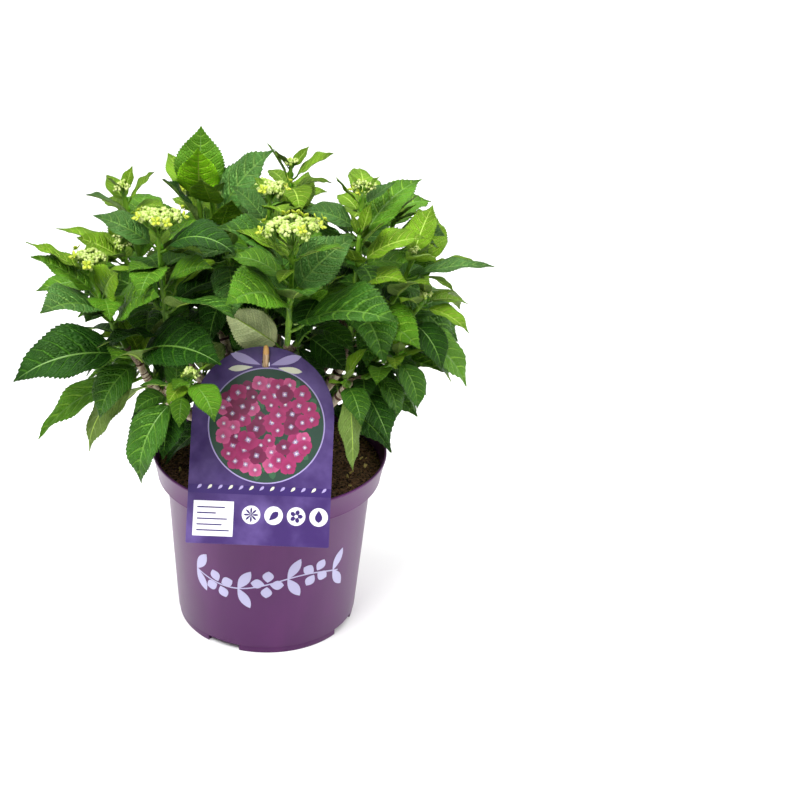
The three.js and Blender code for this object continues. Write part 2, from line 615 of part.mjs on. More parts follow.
function headSolid(curve, width) {
  const sides = 2 * (width > SMALL_HEAD ? HEAD_LOBES : SMALL_HEAD_LOBES);
  const centre = curve.end.clone().add(vector(0, 0, width * HEAD_RISE));
  const ring = (middle, radius, lobe) => Array.from({ length: sides }, (_, side) => (
    polar(PAIR_TURN + (360 * side) / sides, radius * (1 - lobe * (side % 2)), 0).add(middle)
  ));
  const rings = HEAD_ROWS.map(([reach, rise]) => (
    ring(centre.clone().add(vector(0, 0, width * rise)), width * reach, HEAD_LOBE)
  ));
  const top = centre.clone().add(vector(0, 0, width * HEAD_TOP));
  return skin([ring(curve.point(HEAD_FOOT_SHARE), HEAD_FOOT_RADIUS, 0), ...rings], null, top);
}

const heads = SHOOTS.map((row, index) => (row.head ? headSolid(stems[index], row.head) : null));

// A leaf: a stalk, then a blade that bends evenly downwards, folded a little along its midrib

function bladeWidth(share) {
  return Math.sin(Math.PI * share ** BLADE_PEAK) ** BLADE_FULLNESS * (1 - BLADE_TAPER * share);
}

function leafShape(leaf) {
  const outward = polar(leaf.bearing, 1, 0);
  const rise = radians(leaf.rise);
  const bend = radians(Math.max(leaf.droop, 1));
  const stalk = leaf.length * STALK_SHARE;
  const spine = (share) => {
    const level = (Math.sin(rise) - Math.sin(rise - bend * share)) / bend;
    const climb = (Math.cos(rise - bend * share) - Math.cos(rise)) / bend;
    return leaf.foot.clone()
      .addScaledVector(outward, stalk * Math.cos(rise) + leaf.length * level)
      .add(vector(0, 0, stalk * Math.sin(rise) + leaf.length * climb));
  };
  const frame = (share) => {
    const pitch = rise - bend * share;
    const along = outward.clone().multiplyScalar(Math.cos(pitch)).add(vector(0, 0, Math.sin(pitch)));
    const level = vector(0, 0, 1).cross(outward);
    const normal = along.clone().cross(level);
    const twist = radians(leaf.twist);
    const left = level.clone().multiplyScalar(Math.cos(twist)).addScaledVector(normal, Math.sin(twist));
    return { along, left, normal: along.clone().cross(left) };
  };
  return { spine, frame };
}

function leafSolids(leaf) {
  const { spine, frame } = leafShape(leaf);
  const halfWidth = (leaf.length * LEAF_WIDTH_SHARE * leaf.wide) / 2;
  const halfThick = (leaf.length * LEAF_THICKNESS_SHARE) / 2;
  const fold = radians(LEAF_FOLD);
  const ring = (centre, share, half, thick, raise) => {
    const { left, normal } = frame(share);
    const edge = (side) => centre.clone().addScaledVector(left, side * half).addScaledVector(normal, raise);
    const middle = (side) => centre.clone().addScaledVector(normal, side * thick);
    return [edge(1), middle(1), edge(-1), middle(-1)];
  };
  const bladeRings = LEAF_STATIONS.map((share) => {
    const half = halfWidth * bladeWidth(share);
    return ring(spine(share), share, half * Math.cos(fold), halfThick, half * Math.sin(fold));
  });
  const stalkFoot = leaf.foot.clone().addScaledVector(frame(0).along, STALK_START);
  const stalkRing = (centre) => ring(centre, 0, STALK_RADIUS, STALK_RADIUS * STALK_FLATNESS, 0);
  return {
    whole: skin([stalkRing(stalkFoot), stalkRing(spine(0)), ...bladeRings], null, spine(1)),
    blade: skin(bladeRings, spine(0), spine(1)),
  };
}

// A marked leaf gets the rise and length that bring its tip to its place when it bends down by its droop.
function markedLeaf(stem, mark) {
  const foot = stem.point(mark.at ?? PAIRS[mark.pair].at);
  const chord = polar(...mark.tip).sub(foot);
  const bend = radians(Math.max(mark.droop, 1));
  const level = STALK_SHARE + Math.sin(bend) / bend;
  const climb = (Math.cos(bend) - 1) / bend;
  return {
    foot,
    bearing: degrees(Math.atan2(chord.x, -chord.y)),
    rise: degrees(Math.asin(chord.z / chord.length()) - Math.atan2(climb, level)),
    droop: mark.droop,
    length: chord.length() / Math.hypot(level, climb),
    twist: mark.twist ?? 0,
    wide: mark.wide ?? 1,
  };
}

function pairedLeaf(shootIndex, pairIndex, side) {
  const row = SHOOTS[shootIndex];
  const pair = PAIRS[pairIndex];
  const stem = stems[shootIndex];
  const seedStep = SEED_STEPS.shoot * shootIndex + SEED_STEPS.pair * pairIndex + SEED_STEPS.side * side;
  const random = seeded(SEED + seedStep);
  const jitter = (range) => range * (2 * random() - 1);
  jitter(1);
  const along = stem.slope(pair.at);
  const radial = polar(row.turn + PAIR_TURN * pairIndex + 180 * side + jitter(SCATTER.bearing), 1, 0);
  radial.addScaledVector(along, -radial.dot(along)).normalize();
  const spread = radians(pair.spread);
  const start = along.multiplyScalar(Math.cos(spread)).addScaledVector(radial, Math.sin(spread));
  return {
    foot: stem.point(pair.at),
    bearing: degrees(Math.atan2(start.x, -start.y)),
    rise: degrees(Math.asin(start.z)) + jitter(SCATTER.rise),
    droop: pair.droop + jitter(SCATTER.droop),
    length: LEAF_LENGTH * pair.size * row.size * (1 + jitter(SCATTER.size)),
    twist: jitter(SCATTER.twist),
    wide: 1,
  };
}

// Marked leaves are placed first, then pair by pair from the top. One that would touch is turned or shortened
// a few times, and left out when none of these ways is free.

function near(first, second) {
  const a = first.boundingBox();
  const b = second.boundingBox();
  const clear = (low, high) => [0, 1, 2].some((axis) => low[axis] > high[axis] + LEAF_CLEARANCE);
  if (clear(a.min, b.max) || clear(b.min, a.max)) return false;
  return first.minGap(second, 2 * LEAF_CLEARANCE) < LEAF_CLEARANCE;
}

const standing = [pot, soil, label, stick, makeLabelRoom()];
const grown = SHOOTS.map(() => []);

function fits(leaf, shootIndex) {
  const { whole, blade } = leaf;
  if (standing.some((other) => near(whole, other))) return false;
  if (limbRooms.some((room) => near(room === stems[shootIndex].room ? blade : whole, room))) return false;
  if (heads.some((head, index) => head && near(index === shootIndex ? blade : whole, head))) return false;
  const meetsSister = (sister) => near(blade, sister.whole) || near(whole, sister.blade);
  if (grown[shootIndex].some(meetsSister)) return false;
  const others = grown.filter((leaves, index) => index !== shootIndex).flat();
  return !others.some((other) => near(whole, other.whole));
}

const TRIES = TRY_SIZES.flatMap((size) => TRY_TURNS.map(([rise, bearing]) => ({ size, rise, bearing })));

function place(leaf, shootIndex) {
  for (const turn of TRIES) {
    const tried = {
      ...leaf,
      rise: leaf.rise + turn.rise,
      bearing: leaf.bearing + turn.bearing,
      length: leaf.length * turn.size,
    };
    const solids = leafSolids(tried);
    if (fits(solids, shootIndex)) {
      grown[shootIndex].push(solids);
      return;
    }
  }
}

for (const [name, marks] of Object.entries(MARKED_LEAVES)) {
  const shootIndex = SHOOTS.findIndex((row) => row.name === name);
  marks.forEach((mark) => place(markedLeaf(stems[shootIndex], mark), shootIndex));
}

PAIRS.forEach((pair, pairIndex) => {
  SHOOTS.forEach((row, shootIndex) => {
    if (pairIndex >= (row.pairs ?? PAIRS.length)) return;
    const marks = MARKED_LEAVES[row.name] ?? [];
    for (const side of [0, 1]) {
      if (marks.some((mark) => mark.pair === pairIndex && mark.side === side)) continue;
      place(pairedLeaf(shootIndex, pairIndex, side), shootIndex);
    }
  });
});

SHOOTS.forEach((row, shootIndex) => {
  const pieces = [stems[shootIndex].solid, ...grown[shootIndex].map((leaf) => leaf.whole)];
  if (heads[shootIndex]) pieces.push(heads[shootIndex]);
  addPart(`shoot_${row.name}`, largestPiece(Manifold.union(pieces)).simplify(MERGE_LENGTH), "foliage");
});

export default group;
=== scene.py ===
import itertools
import math
import random

import bmesh
import bpy
from mathutils import Matrix, Vector
from mathutils.bvhtree import BVHTree


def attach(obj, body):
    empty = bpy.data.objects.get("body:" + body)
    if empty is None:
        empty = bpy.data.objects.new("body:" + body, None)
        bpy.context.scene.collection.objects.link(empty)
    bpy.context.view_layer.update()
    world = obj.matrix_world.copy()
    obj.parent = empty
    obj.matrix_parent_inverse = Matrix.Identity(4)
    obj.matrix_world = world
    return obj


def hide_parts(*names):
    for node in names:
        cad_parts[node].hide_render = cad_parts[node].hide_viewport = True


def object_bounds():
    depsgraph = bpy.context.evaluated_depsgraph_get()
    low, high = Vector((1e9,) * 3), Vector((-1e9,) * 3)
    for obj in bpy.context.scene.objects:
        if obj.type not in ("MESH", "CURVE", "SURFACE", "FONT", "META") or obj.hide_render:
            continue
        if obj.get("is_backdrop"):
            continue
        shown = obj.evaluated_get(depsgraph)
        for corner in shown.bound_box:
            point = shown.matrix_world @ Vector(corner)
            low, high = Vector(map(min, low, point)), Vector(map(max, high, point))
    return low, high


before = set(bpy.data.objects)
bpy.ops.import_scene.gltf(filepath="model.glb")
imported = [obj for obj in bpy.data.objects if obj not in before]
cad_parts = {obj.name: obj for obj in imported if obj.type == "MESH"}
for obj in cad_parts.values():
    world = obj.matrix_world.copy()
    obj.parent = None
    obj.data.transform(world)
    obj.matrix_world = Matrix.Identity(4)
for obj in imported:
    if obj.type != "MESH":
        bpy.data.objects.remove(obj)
cad_low, cad_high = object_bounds()

# Trunk and boughs: the short woody foot of the shrub and the limbs that fork from it, in thin beige bark of last
# year's wood, with small brown marks and raised dark rings where leaves stood. The soil holds the trunk, and the boughs
# carry the green shoots. Sizes are in metres, bearings in degrees from the front towards +X.

MM = 0.001
GROUND = 0.1488
TRUNK_LEAN, TRUNK_DEPTH = 0.005, 0.005
TRUNK_FOOT = Vector((0, TRUNK_LEAN, GROUND - TRUNK_DEPTH))
TRUNK_TOP = Vector((0, 0, 0.18))
# Share of the trunk's length, radius
TRUNK_ROWS = [(0, 0.017), (0.22, 0.012), (0.7, 0.0095), (1, 0.0076)]
TRUNK_STEPS, TRUNK_SIDES, TRUNK_SEED = 22, 20, 3
FORK_SHARE, FORK_RADIUS = 0.75, 0.0052
BOUGH_STEPS, BOUGH_SIDES, BOUGH_TAPER = 46, 12, 1.25
OUTWARD_FIRST, UPWARD_LATE = 0.68, 0.4
RING_CHANCE, RING_SWELL, BARK_UNEVENNESS = 0.26, 1.16, 0.07

# Name: the limb that it stands on, its tip as (bearing, reach, height) and its radius there, both in millimetres
BOUGHS = {
    "front": ("trunk", (54, 14, 250), 3.6),
    "front_left": ("trunk", (-56, 102, 234), 3.4),
    "left_outer": ("front_left", (-61, 119, 264), 2.9),
    "left_inner": ("front_left", (-53, 98, 266), 2.9),
    "left": ("trunk", (-96, 76, 244), 3.5),
    "back_left": ("trunk", (-142, 70, 240), 3.5),
    "back": ("trunk", (176, 62, 246), 3.5),
    "back_right": ("trunk", (130, 72, 240), 3.5),
    "right": ("trunk", (84, 62, 250), 3.6),
    "centre": ("trunk", (-150, 16, 246), 3.2),
    "right_low": ("trunk", (52, 80, 248), 2.9),
}


def polar(bearing, reach, height):
    angle = math.radians(bearing)
    return Vector((reach * math.sin(angle), -reach * math.cos(angle), height))


class Limb:
    """A limb's middle line: it leaves the one below it sideways and turns upwards later."""

    def __init__(self, start, end, radius):
        self.start = start
        self.end = end
        self.radius = radius
        self.middle = start + Vector((
            (end.x - start.x) * OUTWARD_FIRST,
            (end.y - start.y) * OUTWARD_FIRST,
            (end.z - start.z) * UPWARD_LATE,
        ))

    def point(self, share):
        rest = 1 - share
        return self.start * rest * rest + self.middle * 2 * share * rest + self.end * share * share

    def slope(self, share):
        return ((self.middle - self.start) * (1 - share) + (self.end - self.middle) * share).normalized()


def link(name, data):
    """A new object with this mesh, curve, lamp or camera, in the scene."""
    made = bpy.data.objects.new(name, data)
    bpy.context.scene.collection.objects.link(made)
    return made


def ring_faces(rings, sides, first=0):
    """Four-sided faces from each ring of this many points to the next; first is the first ring's first point."""
    faces = []
    for start in range(first, first + rings * sides, sides):
        for side in range(sides):
            here, near = start + side, start + (side + 1) % sides
            faces.append((here, near, near + sides, here + sides))
    return faces


class Builder:
    """Collects points and faces with their materials, and turns them into one mesh."""

    def __init__(self, materials):
        self.points = []
        self.faces = []
        self.slots = []
        self.places = []
        self.materials = materials

    def add(self, points, faces, slots, places=None):
        """Slots is one material's number or a list of them; places are the points' own pattern coordinates."""
        first = len(self.points)
        self.points += points
        self.faces += [tuple(first + corner for corner in face) for face in faces]
        self.slots += slots if isinstance(slots, list) else [slots] * len(faces)
        self.places += places or [(0, 0)] * len(points)

    def tube(self, centres, radii, sides, slots, bumps=None):
        """A closed tube; slots may hold a material for each step, and bumps scale the radius by ring and side."""
        steps = len(centres) - 1
        step_slots = slots if isinstance(slots, list) else [slots] * steps
        lies_across = abs((centres[-1] - centres[0]).normalized().x) >= 0.9
        across = Vector((0, 1, 0)) if lies_across else Vector((1, 0, 0))
        points = []
        for index, centre in enumerate(centres):
            along = (centres[min(index + 1, steps)] - centres[max(index - 1, 0)]).normalized()
            across = (across - along * across.dot(along)).normalized()
            up = along.cross(across)
            for side in range(sides):
                angle = 2 * math.pi * side / sides
                radius = radii[index] * (bumps(index, side) if bumps else 1)
                points.append(centre + across * radius * math.cos(angle) + up * radius * math.sin(angle))
        last = steps * sides
        faces = ring_faces(steps, sides) + [tuple(range(sides - 1, -1, -1)), tuple(range(last, last + sides))]
        kinds = [slot for slot in step_slots for side in range(sides)] + [step_slots[0], step_slots[-1]]
        places = [(side / sides, index / len(centres)) for index in range(len(centres)) for side in range(sides)]
        self.add(points, faces, kinds, places)

    def make(self, name, smooth=True):
        mesh = bpy.data.meshes.new(name)
        mesh.from_pydata([tuple(point) for point in self.points], [], self.faces)
        for material in self.materials:
            mesh.materials.append(material)
        mesh.polygons.foreach_set("material_index", self.slots)
        mesh.polygons.foreach_set("use_smooth", [smooth] * len(self.faces))
        layer = mesh.uv_layers.new(name="place")
        corners = [0] * len(mesh.loops)
        mesh.loops.foreach_get("vertex_index", corners)
        layer.data.foreach_set("uv", [value for corner in corners for value in self.places[corner]])
        mesh.validate()
        return link(name, mesh)


def new_material(name, colour, roughness, **values):
    """A material whose shader has these constant values; returns it with its tree and shader."""
    material = bpy.data.materials.new(name)
    material.use_nodes = True
    shader = material.node_tree.nodes["Principled BSDF"]
    shader.inputs["Base Color"].default_value = (*colour, 1)
    shader.inputs["Roughness"].default_value = roughness
    for key, value in values.items():
        shader.inputs[key.replace("_", " ")].default_value = value
    return material, material.node_tree, shader


def add_node(tree, kind, inputs=(), **settings):
    """A node with its settings; each input is a socket to link or a value to set."""
    node = tree.nodes.new(kind)
    for key, value in settings.items():
        setattr(node, key, value)
    for key, value in dict(inputs).items():
        if isinstance(value, bpy.types.NodeSocket):
            tree.links.new(value, node.inputs[key])
        else:
            node.inputs[key].default_value = value
    return node


def noise_node(tree, scale, detail, stretch=(1, 1, 1)):
    place = add_node(tree, "ShaderNodeTexCoord").outputs["Object"]
    mapped = add_node(tree, "ShaderNodeMapping", {"Vector": place, "Scale": stretch}).outputs[0]
    return add_node(tree, "ShaderNodeTexNoise", {"Vector": mapped, "Scale": scale, "Detail": detail}).outputs[0]


def spread_node(tree, value, low, high, first=0.0, last=1.0):
    """The value's stretch from low to high, spread softly over first to last."""
    inputs = {"Value": value, "From Min": low, "From Max": high, "To Min": first, "To Max": last}
    return add_node(tree, "ShaderNodeMapRange", inputs, interpolation_type="SMOOTHSTEP").outputs[0]


def blend_node(tree, share, first, second):
    """The first colour, giving way to the second by this share."""
    node = add_node(tree, "ShaderNodeMix", data_type="RGBA")
    for index, value in ((0, share), (6, first), (7, second)):
        if isinstance(value, bpy.types.NodeSocket):
            tree.links.new(value, node.inputs[index])
        else:
            node.inputs[index].default_value = (*value, 1) if isinstance(value, tuple) else value
    return node.outputs[2]


def paint(tree, shader, colour):
    tree.links.new(colour, shader.inputs["Base Color"])


def relief(tree, shader, height, distance, strength=1.0):
    node = add_node(tree, "ShaderNodeBump", {"Height": height, "Distance": distance, "Strength": strength})
    tree.links.new(node.outputs[0], shader.inputs["Normal"])


def finish_piece(piece, slot, *replaced):
    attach(piece, "root")
    if replaced:
        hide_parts(*replaced)


bark, tree, shader = new_material("bark", (0.42, 0.33, 0.22), 0.85)
coarse = noise_node(tree, 260, 6, (1, 1, 0.4))
fine = noise_node(tree, 1400, 3)
beige = blend_node(tree, spread_node(tree, coarse, 0.38, 0.62), (0.30, 0.22, 0.15), (0.62, 0.53, 0.39))
marks = spread_node(tree, fine, 0.58, 0.68)
paint(tree, shader, blend_node(tree, marks, beige, (0.13, 0.075, 0.05)))
relief(tree, shader, coarse, 0.0006, 0.8)
ring_mark = new_material("bark_ring", (0.10, 0.04, 0.03), 0.9)[0]


def woody(builder, centres, radii, sides, seed):
    """A woody limb with swollen dark rings at uneven steps along it."""
    dice = random.Random(seed)
    ringed = [dice.random() < RING_CHANCE for _ in centres]
    thick = [radius * (RING_SWELL if ring else 1) for radius, ring in zip(radii, ringed)]
    slots = [1 if ringed[step] and not ringed[step - 1] else 0 for step in range(len(centres) - 1)]
    rough = [[1 + BARK_UNEVENNESS * (dice.random() - 0.5) for _ in range(sides)] for _ in centres]
    builder.tube(centres, thick, sides, slots, lambda ring, side: rough[ring][side])


def trunk_radius(share):
    low = max(row for row in TRUNK_ROWS if row[0] <= share)
    high = min((row for row in TRUNK_ROWS if row[0] > share), default=low)
    span = high[0] - low[0]
    return low[1] + (high[1] - low[1]) * ((share - low[0]) / span if span else 0)


# The trunk's lowest ring is the last one under the ground, lifted onto it.
trunk_centres = []
trunk_radii = []
for step in range(TRUNK_STEPS + 1):
    if TRUNK_FOOT.lerp(TRUNK_TOP, min(1, (step + 1) / TRUNK_STEPS)).z > GROUND:
        centre = TRUNK_FOOT.lerp(TRUNK_TOP, step / TRUNK_STEPS)
        trunk_centres.append(Vector((centre.x, centre.y, max(centre.z, GROUND))))
        trunk_radii.append(trunk_radius(step / TRUNK_STEPS))
builder = Builder([bark, ring_mark])
woody(builder, trunk_centres, trunk_radii, TRUNK_SIDES, TRUNK_SEED)
finish_piece(builder.make("trunk_bark"), "woody_stems", "trunk")

boughs = {"trunk": Limb(TRUNK_FOOT, TRUNK_FOOT.lerp(TRUNK_TOP, FORK_SHARE), FORK_RADIUS)}
builder = Builder([bark, ring_mark])
for seed, (name, (below, tip, radius)) in enumerate(BOUGHS.items()):
    limb = boughs[name] = Limb(boughs[below].end, polar(*tip) * MM, radius * MM)
    base = max(boughs[below].radius, limb.radius * BOUGH_TAPER)
    shares = [step / BOUGH_STEPS for step in range(BOUGH_STEPS + 1)]
    radii = [base + (limb.radius - base) * step / BOUGH_STEPS for step in range(BOUGH_STEPS + 1)]
    woody(builder, [limb.point(share) for share in shares], radii, BOUGH_SIDES, seed)
finish_piece(builder.make("boughs_bark"), "woody_stems", *["bough_" + name for name in BOUGHS])

# Leaves: broad toothed blades in pairs that stand across each other on the green shoots. The veins are sunk in the
# upper side, the blade puffs up between them, and the underside is paler. Young ones near the tips are brightest.

HEAD_RISE = 0.34
SHOOT_TIP_RADIUS = 0.0017
# Name: the bough that it stands on, its tip, the turn of its top pair of leaves, the width of its flower head, the
# size of its leaves and how many pairs of them the rule gives
SHOOTS = {
    "front": ("front", (8, 96, 398), 80, 55, 1, 4),
    "centre": ("centre", (-15, 16, 400), 30, 33, 0.95, 4),
    "top": ("back", (169, 62, 396), 75, 17, 0.95, 4),
    "upper_right": ("right", (98, 70, 396), 20, 24, 0.95, 4),
    "upper_left": ("left", (-99, 123, 386), 85, 20, 0.9, 4),
    "left_inner": ("left_inner", (-63, 100, 384), 60, 46, 1, 4),
    "left_outer": ("left_outer", (-70, 150, 352), -60, 32, 1, 4),
    "left": ("left", (-92, 122, 342), 10, 20, 0.95, 4),
    "top_left": ("back_left", (-128, 66, 375), 5, 16, 0.95, 4),
    "front_low": ("front_left", (-29, 126, 284), 70, 19, 0.9, 1),
    "right": ("right", (72, 127, 325), 60, 16, 0.95, 2),
    "far_right": ("right", (75, 114, 357), 0, 14, 0.9, 4),
    "right_back": ("back_right", (107, 104, 372), 40, 15, 0.95, 4),
    "high_left": ("back_left", (-131, 84, 362), 30, 0, 0.9, 4),
    "inner_right": ("right", (63, 74, 368), 20, 0, 0.8, 4),
    "back_right": ("back_right", (140, 124, 362), 15, 34, 1, 4),
    "back": ("back", (-176, 124, 350), 70, 44, 1, 4),
    "back_left": ("back_left", (-146, 126, 356), 30, 30, 1, 4),
    "far_left": ("back_left", (-116, 150, 322), 65, 22, 1, 4),
    "far_back": ("back_right", (118, 148, 310), 25, 20, 1, 4),
    "low_left": ("front_left", (-68, 112, 262), 30, 0, 0.95, 1),
    "low_right": ("right_low", (59, 116, 277), 50, 0, 0.9, 1),
    "low_front": ("right_low", (36, 97, 262), 85, 0, 0.85, 0),
    "heart_left": ("centre", (-62, 43, 347), 15, 0, 1, 4),
    "heart_right": ("front", (62, 44, 318), 40, 0, 1, 4),
    "side_left": ("left", (-82, 98, 258), 20, 0, 0.9, 2),
    "heart_back": ("back", (165, 60, 345), 0, 0, 1, 4),
    "low_back": ("trunk", (160, 118, 258), 20, 0, 1, 4),
    "low_back_left": ("trunk", (-118, 122, 250), 50, 0, 1, 4),
    "low_back_right": ("trunk", (112, 116, 246), 70, 0, 1, 2),
}
shoots = {}
for name, (below, (bearing, reach, height), turn, head, size, pairs) in SHOOTS.items():
    shoots[name] = Limb(boughs[below].end, polar(bearing, reach, height - head * HEAD_RISE) * MM, SHOOT_TIP_RADIUS)

# A blade's width and stalk are shares of its length
LEAF_LENGTH, LEAF_WIDTH, STALK = 0.08, 0.72, 0.2
LEAF_THICK, LEAF_THICK_SHARE = 0.0005, 0.009
FOLD = math.radians(14)
# Ruled pairs from the tip down: place on the stem, size, spread from the stem and droop
PAIRS = [(0.93, 0.6, 38, 25), (0.7, 0.88, 52, 45), (0.44, 1, 62, 60), (0.16, 0.92, 68, 62)]
PAIR_TURN, SIDE_TURN = 90, 180
SCATTER = {"bearing": 14, "rise": 9, "droop": 14, "size": 0.09, "twist": 16}
# The sizes and the further rise and bearing in which a solid shoot may hold a leaf that lacked room
SIZES = [1, 0.8, 0.62]
TURNS = [(0, 0), (12, 0), (-12, 0), (0, 16), (0, -16), (24, 10), (-22, -12), (10, 32), (-8, -32)]
LEAF_SEED, SHOOT_SEED_STEP, PAIR_SEED_STEP, SIDE_SEED_STEP = 4211, 977, 131, 37
DRAW_FACTOR, DRAW_MODULUS = 16807, 2147483647

# A blade is made of rows of points across it at even stations, and each second station ends in a tooth.
ACROSS = [-1, -0.9, -0.72, -0.5, -0.28, -0.032, 0, 0.032, 0.28, 0.5, 0.72, 0.9, 1]
STATIONS = 46
VEINS, VEIN_RISE = 7, 0.165
BLADE_PEAK, BLADE_FULLNESS, BLADE_TAPER = 0.82, 0.8, 0.3
POINT_START, POINT_NARROWING, POINT_CURVE = 0.62, 0.55, 1.6
TOOTH_REACH, NOTCH_REACH, TOOTH_FORWARD, NOTCH_BACK = 1.018, 0.955, 0.014, -0.004
PUFF, PUFF_ROUND, VEIN_LEVEL, PUFF_AT_EDGE = 0.02, 0.7, 0.3, 0.4
BLADE_CUP, CURLS = 1.15, (-0.05, 0.22)
FULL_TURN, WAVES, WAVE_HEIGHTS, OTHER_SIDE, CALM_FOOT, CALM_TIP = 6.3, 15, (0.012, 0.034), 2, 6, 5
PUFFED_FROM, PUFFED_TO, BESIDE_MIDRIB = 0.1, 0.95, 0.05
GROOVE, MIDRIB_DEPTH, MIDRIB_TAPER, THIN_FROM, THIN_EDGE = 0.004, 0.009, 0.7, 0.8, 0.7

# The materials of the leaves. The first five are tones of the upper side, and so are the last two: a young green
# made brighter as painted backlight, and a pale underside green made brighter as painted light shining through it.
YOUNG, FRESH, MATURE, DARK, BLUE, UNDER, MIDRIB, MIDRIB_PALE, PAINTED_BACKLIGHT, PALE_PAINTED_BACKLIGHT = range(10)
# The tone of a leaf follows its pair, from young at the tip to dark near the soil, but where a row below names it.
PAIR_TONES = [YOUNG, FRESH, MATURE, DARK]
